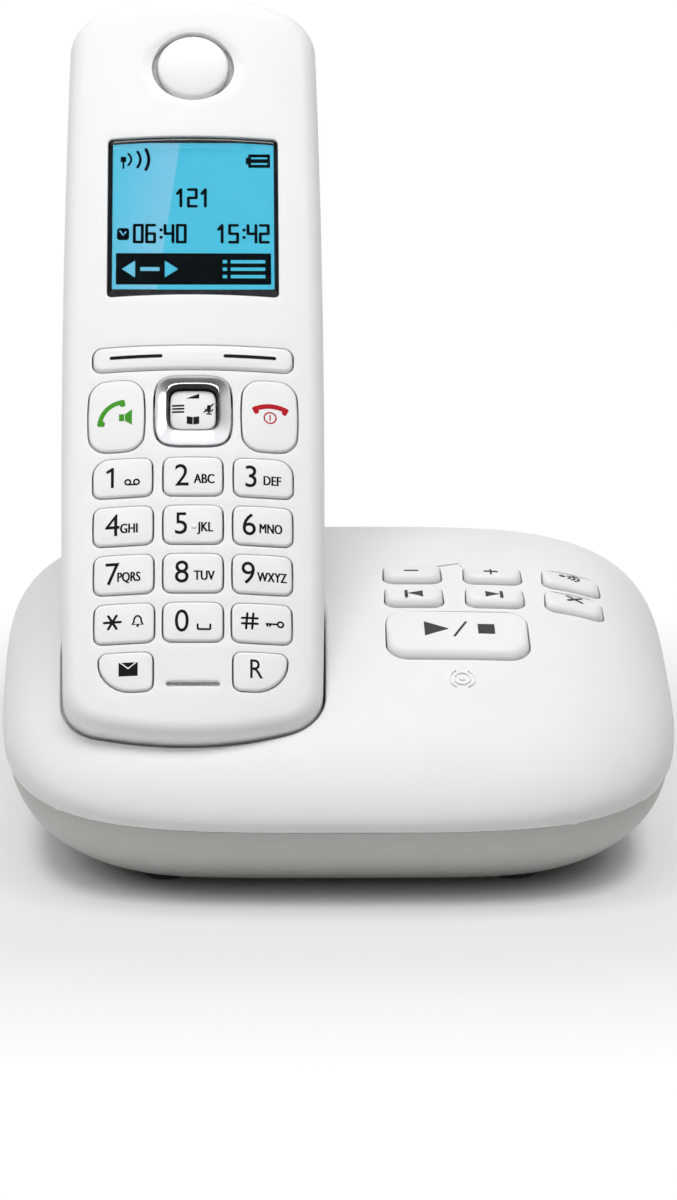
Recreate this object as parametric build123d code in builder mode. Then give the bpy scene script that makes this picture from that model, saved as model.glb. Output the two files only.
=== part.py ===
from build123d import *
import os
from math import cos, hypot, pi, radians, sin

# Cordless telephone with answering machine: a pebble-shaped base that holds a handset leaning back in its
# cradle, with the answering machine's keys beside it.
# Millimetres. +X is to the right, +Y to the back, +Z up. The origin is on the surface that the feet stand on,
# in the middle of the space that base and handset take together.

# ---------------------------------------------------------------- driving dimensions
# Base: the outline is a superellipse, split by a parting plane that rises to the back.
base_width = 124.2  # outline at the parting plane
base_depth = 106.8
base_outline_power = 3.75  # squareness of the outline at the parting plane
base_crown_power = 4.0  # squareness of the outline at the top
parting_front_z = 15.4
parting_slope = 0.135  # rise for each millimetre towards the back
parting_step = 0.5  # the lower shell's outline is this much smaller
crown_z = 44.15  # top of the base at its middle
crown_slope = 0.18
crown_sag = 9.1  # the crown is this much lower at the front and back than its tangent there
shoulder_plan_power = 6.1
shoulder_rise_power = 1.6
waist_bulge = 0.03  # the upper shell swells by about this share just above the parting plane
bottom_z = 2.05
bottom_width = 89.0
bottom_front_inset = 13.1
bottom_rear_inset = 11.0
bottom_power = 5.0
upper_wall = 2.2
lower_wall = 2.0
ring_points = 48
dome_shares = (0.0, 0.12, 0.3, 0.48, 0.64, 0.78, 0.89, 0.955, 0.985, 0.996)  # heights of the rings the dome is lofted from
cap_share = 0.3  # the loft's last ring, as a share of the outline, and how far it lies under the crown
cap_drop = 0.4
bowl_angles = (0, 15, 30, 45, 60, 74, 90)
bowl_power = 1.67
above_all = 53.6  # higher than any point of the base

# Handset: a slim bar that leans back. Its own axes are x across, u up along the face and w out of the face.
handset_offset_x = -27.1  # its middle line, from the middle of the base
handset_lean = 43.4  # degrees from upright
handset_foot_y = 8.5  # the face's lower end, behind the front of the base at the parting plane
handset_foot_z = 31.2
handset_length = 157.3
handset_thickness = 26.0
handset_half_width = 24.5  # widest, at the middle
handset_end_half_width = 23.35
handset_top_sag = 5.2  # the ends are arcs; how far their corners stay back
handset_foot_sag = 4.8
handset_corner_radius = 9.0
face_arch_radius = 100.0
face_edge_radius = 3.0
back_edge_radius = 8.0
handset_wall = 2.0
handset_split_w = -12.0

# Handset electronics, as heights w
board_top_w = -7.0
board_thickness = 1.2
mat_thickness = 0.7
board_inset = 3.6

# Keys of the handset
key_proud = 0.9
key_gap = 0.28
key_edge_radius = 0.5
key_travel = 0.6
flange_reach = 0.6
flange_top_w = -4.1
flange_thickness = 0.7
flange_gap = 0.2  # from a key's flange to the shell above it
rocker_flange_gap = 0.8  # the same under the keys that rock
stem_radius = 1.4
stem_rest_gap = 0.9  # from a stem to the key mat, more than the travel
number_key_width = 10.8
number_key_height = 7.9
column_pitch = 12.95
column_taper = 0.15  # the columns draw in by this much from row to row
row_pitch = 9.87
first_row_u = 52.2
number_key_radius = 1.6
call_key_width = 10.3
call_key_height = 14.6
call_key_x = 14.2
call_key_u = 65.1
foot_key_width = 9.75
foot_key_height = 7.6
foot_key_x = 12.2
foot_key_u = 12.85
foot_key_big_radius = 4.6
soft_bar_width = 37.1
soft_bar_height = 4.9
soft_bar_u = 77.1
soft_bar_radius = 2.15
nav_u = 65.8
nav_ring_size = 14.0
nav_ring_height = 14.3
nav_pad_size = 8.8
nav_ring_proud = 1.3
nav_pad_proud = 1.0
nav_corner_radius = 4.6
nav_pad_corner_radius = 2.4
nav_tilt_room = 0.45

# Display, earpiece, microphone
window_width = 32.2
window_height = 34.0
window_u = 107.5
window_thickness = 1.2
window_recess = 0.15
window_corner_radius = 0.8
window_ledge = 1.0  # the seat around the window's edge
fit_gap = 0.05
module_width = 30.0
module_height = 32.0
module_thickness = 2.6
earpiece_u = 140.5
earpiece_hole_radius = 7.5
earpiece_cap_radius = 6.5
earpiece_flange_radius = 9.2
earpiece_proud = 0.35
earpiece_foot_w = -3.4
earpiece_flange_thickness = 0.7
earpiece_spoke_width = 1.6
receiver_radius = 6.5
receiver_height = 3.0
mic_u = 10.4
mic_slot_width = 9.7
mic_slot_height = 1.0
mic_radius = 2.0
mic_height = 1.5
mic_mat_radius = 3.0  # hole in the key mat for it

# Battery bay and cover
cell_radius = 5.25
cell_length = 44.5
cell_spacing = 11.0
bay_foot_u = 67.0
bay_clearance = 0.3
bay_wall = 1.2
contact_plate = 0.5
contact_plate_size = 8.0
bay_floor_w = -13.5
cover_half_width = 15.0
cover_foot_u = 60.0
cover_length = 64.0
cover_thickness = 1.2
cover_gap = 0.15
cover_radius = 3.0
cover_rib = 0.8
cover_rib_height = 1.2

# Ringer speaker on the handset's back, screws
ringer_u = 139.0
ringer_radius = 9.5
ringer_height = 4.0
ringer_slots = 5
ringer_slot_pitch = 2.8
ringer_slot_width = 1.2
ringer_slot_length = 11.0
ringer_slot_radius = 0.55
handset_screw_x = 18.9
handset_screw_us = (84.0, 131.0)
screw_shank_radius = 1.1
screw_head_radius = 2.1
screw_head_height = 1.5
screw_hole_gap = 0.15
boss_wall = 1.3
handset_head_w = -17.0

# Cradle and charging contacts
cradle_clearance = 0.5
cradle_wall = 1.6
cradle_shell_gap = 0.35  # between the cradle's edge and the inside of the upper shell
contact_x = 8.0
contact_w = -14.1
contact_pad = 3.8
contact_strip = 0.5
contact_width = 3.0
contact_gap = 0.25
contact_foot = 5.0
contact_rise = 5.5
contact_back = 2.0
pad_thickness = 1.0
antenna_x = 26.0
antenna_y = 70.0
antenna_length = 10.0
antenna_height = 14.0
antenna_strip = 0.6
antenna_tab = 3.0

# Keys of the base, from the middle of the base in x and from the front of the parting line in y
base_key_width = 10.7
base_key_depth = 7.6
base_key_radius = 2.0
base_key_columns = (14.25, 29.4, 44.3)
base_key_front_ys = (56.4, 47.4)  # front edge of the back row and of the middle row
play_key_width = 26.2
play_key_front_y = 30.9
play_key_depth = 14.8
play_key_radius = 4.0
base_key_front_proud = 1.5
base_key_back_proud = 0.25
base_key_gap = 0.3
base_key_travel = 0.7
base_stem_gap = 1.0
base_flange_gap = 0.8
key_board_top_z = 27.0
key_board_thickness = 1.6
base_mat_thickness = 1.0
key_board_x = (2.4, 50.5)
key_board_y = (25.0, 72.0)
key_board_bosses = ((4.8, 32.0), (4.8, 69.5), (48.0, 69.5), (40.0, 27.5))
stake_radius = 0.9
stake_head = 0.6  # what the melted stakes stand above the boards
mat_margin = 1.5

# Inside the lower shell
main_board_z = 7.0
main_board_thickness = 1.6
board_rear_y = 84.7
board_rear_front_y = 57.0
board_half_width = 40.0
board_left_x = -38.0
board_left_right_x = -3.0
board_front_y = 15.0
standoff_radius = 2.5
standoffs = ((-34.0, 63.0), (34.0, 63.0), (0.0, 66.0), (-27.1, 18.0))
speaker_x = 24.0
speaker_y = 35.0
speaker_radius = 17.0
speaker_depth = 11.0
speaker_rib = 1.0
base_screws_at = ((27.0, 90.5), (-27.0, 90.5), (4.5, 19.0))
cradle_screw_y = 27.0
screw_seat = 3.0  # depth of the counterbores under the base
base_boss_radius = 2.9
base_post_radius = 3.4
boss_split_z = 16.0  # where the upper shell's bosses meet the lower shell's posts
cradle_boss_z = 8.9
base_shank_top_z = 24.0
cradle_shank_top_z = 13.6
grille_slots = 5
grille_slot_width = 1.6
grille_slot_length = 18.0
grille_pitch = 4.0
foot_radius = 4.6
foot_recess = 0.8
feet_at = ((32.0, 22.0), (-32.0, 22.0), (36.0, 78.0), (-36.0, 78.0))

# Sockets at the rear
bay_half_width = 19.0
bay_front_y = 87.0
bay_top_z = 18.2
socket_x = 9.5
socket_width = 9.8
socket_height = 6.8
socket_floor_z = 10.2
jack_width = 13.4
jack_depth = 14.0
jack_height = 10.8
jack_back_wall = 3.0
jack_wall_gap = 0.1

# ---------------------------------------------------------------- frame, worked out from the sizes above
lean = radians(handset_lean)
back_corner = handset_thickness - back_edge_radius
handset_reach = (
    handset_foot_y
    + (handset_length - back_edge_radius) * sin(lean)
    + back_corner * cos(lean)
    + back_edge_radius
)
front_y = -handset_reach / 2  # front of the parting line
base_y = front_y + base_depth / 2


def arc_radius(half_chord, sag):
    """Radius of the arc that rises by sag over half its chord."""
    return (half_chord**2 + sag**2) / (2 * sag)


foot_arc_radius = arc_radius(handset_end_half_width, handset_foot_sag)
top_arc_radius = arc_radius(handset_end_half_width, handset_top_sag)
side_arc_radius = arc_radius(handset_length / 2, handset_half_width - handset_end_half_width)

face = Plane(
    origin=(handset_offset_x, front_y + handset_foot_y, handset_foot_z),
    x_dir=(1, 0, 0),
    z_dir=(0, -cos(lean), sin(lean)),
)
section = Plane(origin=face.origin, x_dir=(1, 0, 0), z_dir=-face.y_dir)  # sketches in (x, w), along -u

os.makedirs("parts", exist_ok=True)


def save(builder, name):
    """Labels a finished piece and writes it."""
    builder.part.label = name
    export_step(builder.part, f"parts/{name}.step")


# ---------------------------------------------------------------- outer shape of the base
def superellipse(half_width, half_depth, power):
    """Points of one ring, as (x, y) from its middle."""
    points = []
    for k in range(ring_points):
        angle = 2 * pi * k / ring_points
        c, s = cos(angle), sin(angle)
        reach = (abs(c) ** power + abs(s) ** power) ** (-1 / power)
        points.append((half_width * reach * c, half_depth * reach * s))
    return points


def parting_z(y):
    """Height of the parting plane, y from the middle of the base."""
    return parting_front_z + parting_slope * (y + base_depth / 2)


def ring(points):
    return Wire([Edge.make_spline([Vector(*p) for p in points], periodic=True)])


def crown_height(y, grow=0.0):
    """Height of the crown's middle line, y from the middle of the base."""
    return crown_z + grow + crown_slope * y - crown_sag * (2 * y / base_depth) ** 2


def dome(grow=0.0):
    """Upper half of the pebble, from the parting plane up, grown or shrunk by grow."""
    rings = []
    for share in dome_shares:
        reach = (1 - share**shoulder_rise_power) ** (1 / shoulder_plan_power)
        reach *= 1 + 4 * waist_bulge * share * (1 - share)
        power = base_outline_power + (base_crown_power - base_outline_power) * share
        outline = superellipse(base_width / 2 + grow, base_depth / 2 + grow, power)
        points = []
        for x, y in outline:
            y *= reach
            low = parting_z(y)
            points.append((x * reach, base_y + y, low + (crown_height(y, grow) - low) * share))
        rings.append(ring(points))
    cap = superellipse(base_width / 2 * cap_share, base_depth / 2 * cap_share, base_crown_power)
    rings.append(ring([(x, base_y + y, crown_z + grow - cap_drop + crown_slope * y) for x, y in cap]))
    return Solid.make_loft(rings)


def bowl(shrink=0.0):
    """Lower half of the pebble, from the parting plane down to its flat bottom."""
    half_depth = base_depth / 2 - parting_step - shrink
    half_width = base_width / 2 - parting_step - shrink
    foot_half_width = bottom_width / 2 - shrink
    foot_half_depth = (base_depth - bottom_front_inset - bottom_rear_inset) / 2 - shrink
    foot_shift = (bottom_front_inset - bottom_rear_inset) / 2
    rings = []
    for angle in bowl_angles:
        inward = 1 - cos(radians(angle)) ** bowl_power
        down = sin(radians(angle))
        power = base_outline_power + (bottom_power - base_outline_power) * inward
        outline = superellipse(
            half_width + (foot_half_width - half_width) * inward,
            half_depth + (foot_half_depth - half_depth) * inward,
            power,
        )
        points = []
        for x, y in outline:
            y += foot_shift * inward
            low = parting_z(y)
            points.append((x, base_y + y, low + (bottom_z + shrink - low) * down))
        rings.append(ring(points))
    return Solid.make_loft(rings)


def dome_surface(x, y, grow=0.0):
    """Height of the dome at a point from the middle of the base."""
    power = (base_outline_power + base_crown_power) / 2
    reach = hypot_power(2 * x / (base_width + 2 * grow), 2 * y / (base_depth + 2 * grow), power)
    share = max(1 - reach**shoulder_plan_power, 0) ** (1 / shoulder_rise_power)
    low = parting_z(y)
    return low + (crown_height(y, grow) - low) * share


def hypot_power(a, b, power):
    return (abs(a) ** power + abs(b) ** power) ** (1 / power)


# ---------------------------------------------------------------- outer shape of the handset
def handset_corner(end_radius, end_centre_u, grow):
    """Where the arc of one end crosses the bowed side, both moved out by grow, as x and u."""
    side_centre = (handset_half_width - side_arc_radius, handset_length / 2)
    to_side_x, to_side_u = side_centre[0], side_centre[1] - end_centre_u
    apart = hypot(to_side_x, to_side_u)
    end_reach, side_reach = end_radius + grow, side_arc_radius + grow
    along = (apart**2 + end_reach**2 - side_reach**2) / (2 * apart)
    across = (end_reach**2 - along**2) ** 0.5
    crossings = [
        (
            (along * to_side_x - turn * across * to_side_u) / apart,
            end_centre_u + (along * to_side_u + turn * across * to_side_x) / apart,
        )
        for turn in (-1, 1)
    ]
    return max(crossings, key=lambda point: abs(point[1] - side_centre[1]))


def handset_outline(grow=0.0):
    """The handset seen square to its face: bowed sides, arched ends and round corners, moved out by grow."""
    foot_x, foot_u = handset_corner(foot_arc_radius, foot_arc_radius, grow)
    top_x, top_u = handset_corner(top_arc_radius, handset_length - top_arc_radius, grow)
    middle = handset_length / 2
    with BuildSketch(mode=Mode.PRIVATE) as outline:
        with BuildLine():
            ThreePointArc((-foot_x, foot_u), (0, -grow), (foot_x, foot_u))
            ThreePointArc((foot_x, foot_u), (handset_half_width + grow, middle), (top_x, top_u))
            ThreePointArc((top_x, top_u), (0, handset_length + grow), (-top_x, top_u))
            ThreePointArc((-top_x, top_u), (-handset_half_width - grow, middle), (-foot_x, foot_u))
        make_face()
        fillet(outline.vertices(), handset_corner_radius + grow)
    return outline.sketch


def handset_block(grow=0.0):
    """The handset's outer shape as one solid, grown or shrunk by grow. Only the cradle, which ends below the
    rounding along the face, uses a grown one, so that rounding is left out of it."""
    with BuildPart() as block:
        with BuildSketch(face.offset(-handset_thickness - grow)):
            add(handset_outline(grow))
        extrude(amount=handset_thickness + 2 * abs(grow))
        with BuildSketch(section):
            with Locations((0, -face_arch_radius)):
                Circle(face_arch_radius + grow)
        extrude(amount=handset_length * 2, both=True, mode=Mode.INTERSECT)
        if grow <= 0:
            by_height = block.faces().sort_by(Axis(face.origin, face.z_dir))
            fillet(by_height[-1].edges(), max(face_edge_radius + grow, 0.8))
        by_height = block.faces().sort_by(Axis(face.origin, face.z_dir))
        fillet(by_height[0].edges(), back_edge_radius + grow)
    return block.part


def face_box(x0, x1, u0, u1, w0, w1):
    """A box in the handset's own axes."""
    with BuildPart() as box:
        with BuildSketch(face.offset(w0)):
            with Locations(((x0 + x1) / 2, (u0 + u1) / 2)):
                Rectangle(x1 - x0, u1 - u0)
        extrude(amount=w1 - w0)
    return box.part


def face_post(x, u, radius, w0, w1):
    """A round post square to the face."""
    with BuildPart() as post:
        with BuildSketch(face.offset(w0)):
            with Locations((x, u)):
                Circle(radius)
        extrude(amount=w1 - w0)
    return post.part


def post(x, y, radius, z0, z1):
    """An upright post, x from the middle of the base and y from the front of the parting line."""
    with BuildPart() as upright:
        with BuildSketch(Plane.XY.offset(z0)):
            with Locations((x, front_y + y)):
                Circle(radius)
        extrude(amount=z1 - z0)
    return upright.part


# ---------------------------------------------------------------- keys of the handset
def key_outline(width, height, radius, grow=0.0, big_corner=None, big_radius=0.0):
    """A rounded rectangle about the origin. big_corner is the sign of x and u of the corner that is rounder."""
    corner_distance = hypot(width / 2 + grow, height / 2 + grow)
    with BuildSketch(mode=Mode.PRIVATE) as outline:
        Rectangle(width + 2 * grow, height + 2 * grow)
        if big_corner:
            across, up = big_corner
            fillet(outline.vertices().sort_by(lambda v: v.X * across + v.Y * up)[-1], big_radius + grow)
        corners = [v for v in outline.vertices() if hypot(v.X, v.Y) > corner_distance - 0.01]
        fillet(corners, radius + grow)
    return outline.sketch


def key_sizes():
    """Each handset key's place and outline: name -> (x, u, width, height, radius, big corner, big radius)."""
    keys = {}
    names = ("1", "2", "3", "4", "5", "6", "7", "8", "9", "star", "0", "hash")
    for k, name in enumerate(names):
        row, column = divmod(k, 3)
        x = (column - 1) * (column_pitch - column_taper * row)
        u = first_row_u - row * row_pitch
        big = {"1": (-1, 1), "3": (1, 1)}.get(name)
        keys[f"number_key_{name}" if name.isdigit() else f"{name}_key"] = (
            x, u, number_key_width, number_key_height, number_key_radius, big, foot_key_big_radius,
        )
    keys["talk_key"] = (-call_key_x, call_key_u, call_key_width, call_key_height, nav_pad_corner_radius, None, 0)
    keys["end_key"] = (call_key_x, call_key_u, call_key_width, call_key_height, nav_pad_corner_radius, None, 0)
    keys["message_key"] = (
        -foot_key_x, foot_key_u, foot_key_width, foot_key_height, number_key_radius, (-1, -1), foot_key_big_radius,
    )
    keys["recall_key"] = (
        foot_key_x, foot_key_u, foot_key_width, foot_key_height, number_key_radius, (1, -1), foot_key_big_radius,
    )
    return keys


def arch(radius):
    """A long cylinder under the arched face, as the limit of what lies below it."""
    with BuildPart() as limit:
        with BuildSketch(section):
            with Locations((0, -face_arch_radius)):
                Circle(radius)
        extrude(amount=handset_length * 2, both=True)
    return limit.part


def prism(outline, x, u, w0, w1):
    """An outline about the origin, moved to (x, u) and extruded from height w0 to w1."""
    with BuildPart() as solid:
        with BuildSketch(face.offset(w0)):
            with Locations((x, u)):
                add(outline)
        extrude(amount=w1 - w0)
    return solid.part


flange_foot_w = flange_top_w - flange_thickness
mat_top_w = board_top_w + mat_thickness


def handset_key(x, u, outline_at, proud, gap=flange_gap):
    """A key cap with its flange under the shell. outline_at(grow) gives its outline."""
    with BuildPart() as cap:
        add(prism(outline_at(0), x, u, flange_foot_w, proud + 1))
        add(arch(face_arch_radius + proud), mode=Mode.INTERSECT)
        top = cap.faces().sort_by(Axis(face.origin, face.z_dir))[-1]
        fillet(top.edges(), key_edge_radius)
    with BuildPart() as flange:
        add(prism(outline_at(flange_reach), x, u, flange_foot_w, 0))
        add(arch(face_arch_radius - handset_wall - gap), mode=Mode.INTERSECT)
    return cap.part + flange.part


handset_keys = key_sizes()
for name, (x, u, width, height, radius, big, big_radius) in handset_keys.items():

    def outline_at(grow):
        return key_outline(width, height, radius, grow, big, big_radius)

    with BuildPart() as handset_key_cap:
        add(handset_key(x, u, outline_at, key_proud))
        add(face_post(x, u, stem_radius, mat_top_w + stem_rest_gap, flange_foot_w + flange_thickness))
    save(handset_key_cap, name)


def soft_bar_outline(grow=0.0):
    with BuildSketch(mode=Mode.PRIVATE) as outline:
        RectangleRounded(soft_bar_width + 2 * grow, soft_bar_height + 2 * grow, soft_bar_radius + grow)
    return outline.sketch


with BuildPart() as soft_key_bar:
    add(handset_key(0, soft_bar_u, soft_bar_outline, key_proud, rocker_flange_gap))
save(soft_key_bar, "soft_key_bar")


def nav_outline(grow=0.0):
    return key_outline(nav_ring_size, nav_ring_height, nav_corner_radius, grow)


def nav_pad_outline(grow=0.0):
    return key_outline(nav_pad_size, nav_pad_size, nav_pad_corner_radius, grow)


nav_pad_flange_w = flange_foot_w - key_gap
with BuildPart() as nav_ring:
    add(handset_key(0, nav_u, nav_outline, nav_ring_proud, rocker_flange_gap))
    add(prism(nav_pad_outline(key_gap), 0, nav_u, flange_foot_w - 1, nav_ring_proud + 1), mode=Mode.SUBTRACT)
save(nav_ring, "nav_ring")

with BuildPart() as nav_pad:
    add(prism(nav_pad_outline(), 0, nav_u, nav_pad_flange_w - nav_tilt_room, nav_pad_proud + 1))
    add(arch(face_arch_radius + nav_pad_proud), mode=Mode.INTERSECT)
    fillet(nav_pad.faces().sort_by(Axis(face.origin, face.z_dir))[-1].edges(), key_edge_radius)
    add(prism(nav_pad_outline(flange_reach), 0, nav_u, nav_pad_flange_w - nav_tilt_room, nav_pad_flange_w))
save(nav_pad, "nav_pad")


# ---------------------------------------------------------------- handset shells
screw_places = [(sx * handset_screw_x, u) for u in handset_screw_us for sx in (-1, 1)]
screw_boss_radius = screw_shank_radius + screw_hole_gap + boss_wall
screw_post_radius = screw_head_radius + screw_hole_gap + boss_wall * 0.75
everything = 200.0


def window_outline(grow=0.0):
    return key_outline(window_width, window_height, window_corner_radius, grow)


def pads(grow=0.0):
    """The two charging pads in the handset's foot, as plates that follow its outer shape."""
    half = contact_pad / 2 + grow
    with BuildPart() as plates:
        for sx in (-1, 1):
            middle = sx * contact_x
            add(face_box(middle - half, middle + half, -2, 4, contact_w - half, contact_w + half))
        add(handset_block(), mode=Mode.INTERSECT)
        add(handset_block(-pad_thickness), mode=Mode.SUBTRACT)
    return plates.part


proud_top = key_proud + 1
window_foot = -window_recess - window_thickness
with BuildPart() as window_seat:
    add(prism(window_outline(fit_gap), 0, window_u, flange_top_w, proud_top))
    add(handset_block(window_foot - fit_gap), mode=Mode.SUBTRACT)

with BuildPart() as handset_front_shell:
    add(handset_block())
    add(handset_block(-handset_wall), mode=Mode.SUBTRACT)
    for x, u in screw_places:
        add(face_post(x, u, screw_post_radius, board_top_w, -handset_wall - 1))
        add(face_post(x, u, screw_boss_radius, handset_split_w, board_top_w))
        add(face_post(x, u, screw_shank_radius + fit_gap, handset_split_w - 1, board_top_w + 2), mode=Mode.SUBTRACT)
    add(
        face_box(-everything, everything, -everything, 2 * everything, handset_split_w, everything),
        mode=Mode.INTERSECT,
    )
    for name, (x, u, width, height, radius, big, big_radius) in handset_keys.items():
        hole = key_outline(width, height, radius, key_gap, big, big_radius)
        add(prism(hole, x, u, flange_top_w, proud_top), mode=Mode.SUBTRACT)
    add(prism(soft_bar_outline(key_gap), 0, soft_bar_u, flange_top_w, proud_top), mode=Mode.SUBTRACT)
    add(prism(nav_outline(key_gap), 0, nav_u, flange_top_w, proud_top), mode=Mode.SUBTRACT)
    add(window_seat.part, mode=Mode.SUBTRACT)
    light_opening = key_outline(
        window_width - 2 * window_ledge, window_height - 2 * window_ledge, window_corner_radius,
    )
    add(prism(light_opening, 0, window_u, board_top_w, proud_top), mode=Mode.SUBTRACT)
    add(face_post(0, earpiece_u, earpiece_hole_radius, flange_top_w, proud_top), mode=Mode.SUBTRACT)
    add(
        prism(key_outline(mic_slot_width, mic_slot_height, mic_slot_height * 0.45), 0, mic_u, flange_top_w, 1),
        mode=Mode.SUBTRACT,
    )
save(handset_front_shell, "handset_front_shell")

bay_length = cell_length + 2 * contact_plate + 2 * contact_plate
bay_half_x = cell_spacing / 2 + cell_radius + bay_clearance
bay_top_u = bay_foot_u + bay_length


def cover_outline(grow=0.0):
    return key_outline(2 * cover_half_width, cover_length, cover_radius, grow)


with BuildPart() as handset_back_shell:
    add(handset_block())
    add(handset_block(-handset_wall), mode=Mode.SUBTRACT)
    for x, u in screw_places:
        add(face_post(x, u, screw_post_radius, -handset_thickness + handset_wall / 2, handset_split_w))
    add(
        face_box(
            -bay_half_x - bay_wall, bay_half_x + bay_wall, bay_foot_u - bay_wall, bay_top_u + bay_wall,
            -handset_thickness + handset_wall / 2, bay_floor_w + bay_wall,
        )
    )
    add(
        face_box(-everything, everything, -everything, 2 * everything, -everything, handset_split_w),
        mode=Mode.INTERSECT,
    )
    for x, u in screw_places:
        add(
            face_post(x, u, screw_shank_radius + screw_hole_gap, -handset_thickness - 1, 0),
            mode=Mode.SUBTRACT,
        )
        add(
            face_post(
                x, u, screw_head_radius + screw_hole_gap, -handset_thickness - 1,
                handset_head_w + screw_head_height,
            ),
            mode=Mode.SUBTRACT,
        )
    add(
        face_box(-bay_half_x, bay_half_x, bay_foot_u, bay_top_u, -handset_thickness - 1, bay_floor_w),
        mode=Mode.SUBTRACT,
    )
    add(
        prism(
            cover_outline(cover_gap), 0, cover_foot_u + cover_length / 2,
            -handset_thickness - 1, -handset_thickness + cover_thickness + fit_gap,
        ),
        mode=Mode.SUBTRACT,
    )
    for k in range(ringer_slots):
        across = (k - (ringer_slots - 1) / 2) * ringer_slot_pitch
        slot = key_outline(ringer_slot_width, ringer_slot_length - abs(across), ringer_slot_radius)
        add(prism(slot, across, ringer_u, -handset_thickness - 1, -handset_thickness + 3), mode=Mode.SUBTRACT)
    add(pads(fit_gap), mode=Mode.SUBTRACT)
save(handset_back_shell, "handset_back_shell")

with BuildPart() as handset_charging_pads:
    add(pads())
save(handset_charging_pads, "handset_charging_pads")

with BuildPart() as battery_cover:
    add(
        prism(
            cover_outline(), 0, cover_foot_u + cover_length / 2,
            -handset_thickness, -handset_thickness + cover_thickness,
        )
    )
    rib_x = bay_half_x - bay_clearance
    for sx in (-1, 1):
        add(
            face_box(
                *sorted((sx * rib_x, sx * (rib_x - cover_rib))), bay_foot_u + 2, bay_top_u - 2,
                -handset_thickness + cover_thickness, -handset_thickness + cover_thickness + cover_rib_height,
            )
        )
save(battery_cover, "battery_cover")

cell_w = bay_floor_w - bay_clearance - cell_radius + 0.1
with BuildPart() as battery_cells:
    cell_foot = face.origin + face.y_dir * (bay_foot_u + 2 * contact_plate)
    cell_end = Plane(origin=cell_foot, x_dir=(1, 0, 0), z_dir=face.y_dir)
    with BuildSketch(cell_end):
        with Locations((-cell_spacing / 2, -cell_w), (cell_spacing / 2, -cell_w)):
            Circle(cell_radius)
    extrude(amount=cell_length)
save(battery_cells, "battery_cells")

with BuildPart() as battery_contacts:
    for u0 in (bay_foot_u, bay_top_u - contact_plate):
        for sx in (-1, 1):
            x = sx * cell_spacing / 2
            half = contact_plate_size / 2
            add(face_box(x - half, x + half, u0, u0 + contact_plate, cell_w - half, cell_w + half))
save(battery_contacts, "battery_contacts")

with BuildPart() as handset_screws:
    for x, u in screw_places:
        add(face_post(x, u, screw_head_radius, handset_head_w, handset_head_w + screw_head_height))
        add(face_post(x, u, screw_shank_radius, handset_head_w + screw_head_height, board_top_w + 1))
save(handset_screws, "handset_screws")


# ---------------------------------------------------------------- handset electronics
with BuildPart() as handset_circuit_board:
    with BuildSketch(face.offset(board_top_w - board_thickness)):
        add(handset_outline(-board_inset))
    extrude(amount=board_thickness)
    for x, u in screw_places:
        add(face_post(x, u, screw_boss_radius + screw_hole_gap, -9, -6), mode=Mode.SUBTRACT)
save(handset_circuit_board, "handset_circuit_board")

mat_foot_u = foot_key_u - foot_key_height / 2 - 1
mat_head_u = soft_bar_u + soft_bar_height / 2 + 1
with BuildPart() as handset_key_mat:
    with BuildSketch(face.offset(board_top_w)):
        add(handset_outline(-board_inset - 0.6))
        with Locations((0, (mat_foot_u + mat_head_u) / 2)):
            Rectangle(everything, mat_head_u - mat_foot_u, mode=Mode.INTERSECT)
        with Locations((0, mic_u)):
            Circle(mic_mat_radius, mode=Mode.SUBTRACT)
    extrude(amount=mat_thickness)
save(handset_key_mat, "handset_key_mat")

with BuildPart() as display_module:
    half_x, half_u = module_width / 2, module_height / 2
    add(face_box(-half_x, half_x, window_u - half_u, window_u + half_u, board_top_w, board_top_w + module_thickness))
save(display_module, "display_module")

with BuildPart() as display_window:
    add(handset_block(-window_recess))
    add(handset_block(window_foot), mode=Mode.SUBTRACT)
    add(prism(window_outline(), 0, window_u, flange_top_w, 1), mode=Mode.INTERSECT)
save(display_window, "display_window")

with BuildPart() as earpiece_cap:
    cap_foot_w = earpiece_foot_w + earpiece_flange_thickness - 0.1
    add(face_post(0, earpiece_u, earpiece_cap_radius, cap_foot_w, earpiece_proud))
    fillet(earpiece_cap.faces().sort_by(Axis(face.origin, face.z_dir))[-1].edges(), key_edge_radius)
    with BuildSketch(face.offset(earpiece_foot_w)):
        with Locations((0, earpiece_u)):
            Circle(earpiece_flange_radius)
            Circle(earpiece_hole_radius + 0.4, mode=Mode.SUBTRACT)
            with PolarLocations(earpiece_cap_radius / 2, 3, start_angle=90):
                Rectangle(2 * earpiece_flange_radius - earpiece_cap_radius, earpiece_spoke_width)
            Circle(earpiece_cap_radius - 1)
    extrude(amount=earpiece_flange_thickness)
save(earpiece_cap, "earpiece_cap")

with BuildPart() as earpiece_receiver:
    add(face_post(0, earpiece_u, receiver_radius, board_top_w, board_top_w + receiver_height))
save(earpiece_receiver, "earpiece_receiver")

with BuildPart() as microphone:
    add(face_post(0, mic_u, mic_radius, board_top_w, board_top_w + mic_height))
save(microphone, "microphone")

with BuildPart() as ringer_speaker:
    ringer_w = -handset_thickness + handset_wall + 0.2
    add(face_post(0, ringer_u, ringer_radius, ringer_w, ringer_w + ringer_height * 0.6))
    add(face_post(0, ringer_u, ringer_radius * 0.6, ringer_w, ringer_w + ringer_height))
save(ringer_speaker, "ringer_speaker")


# ---------------------------------------------------------------- base: keys
def on_base(x, y):
    """From the middle of the base in x and the front of the parting line in y, to the dome's own middle."""
    return x, y - base_depth / 2


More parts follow.
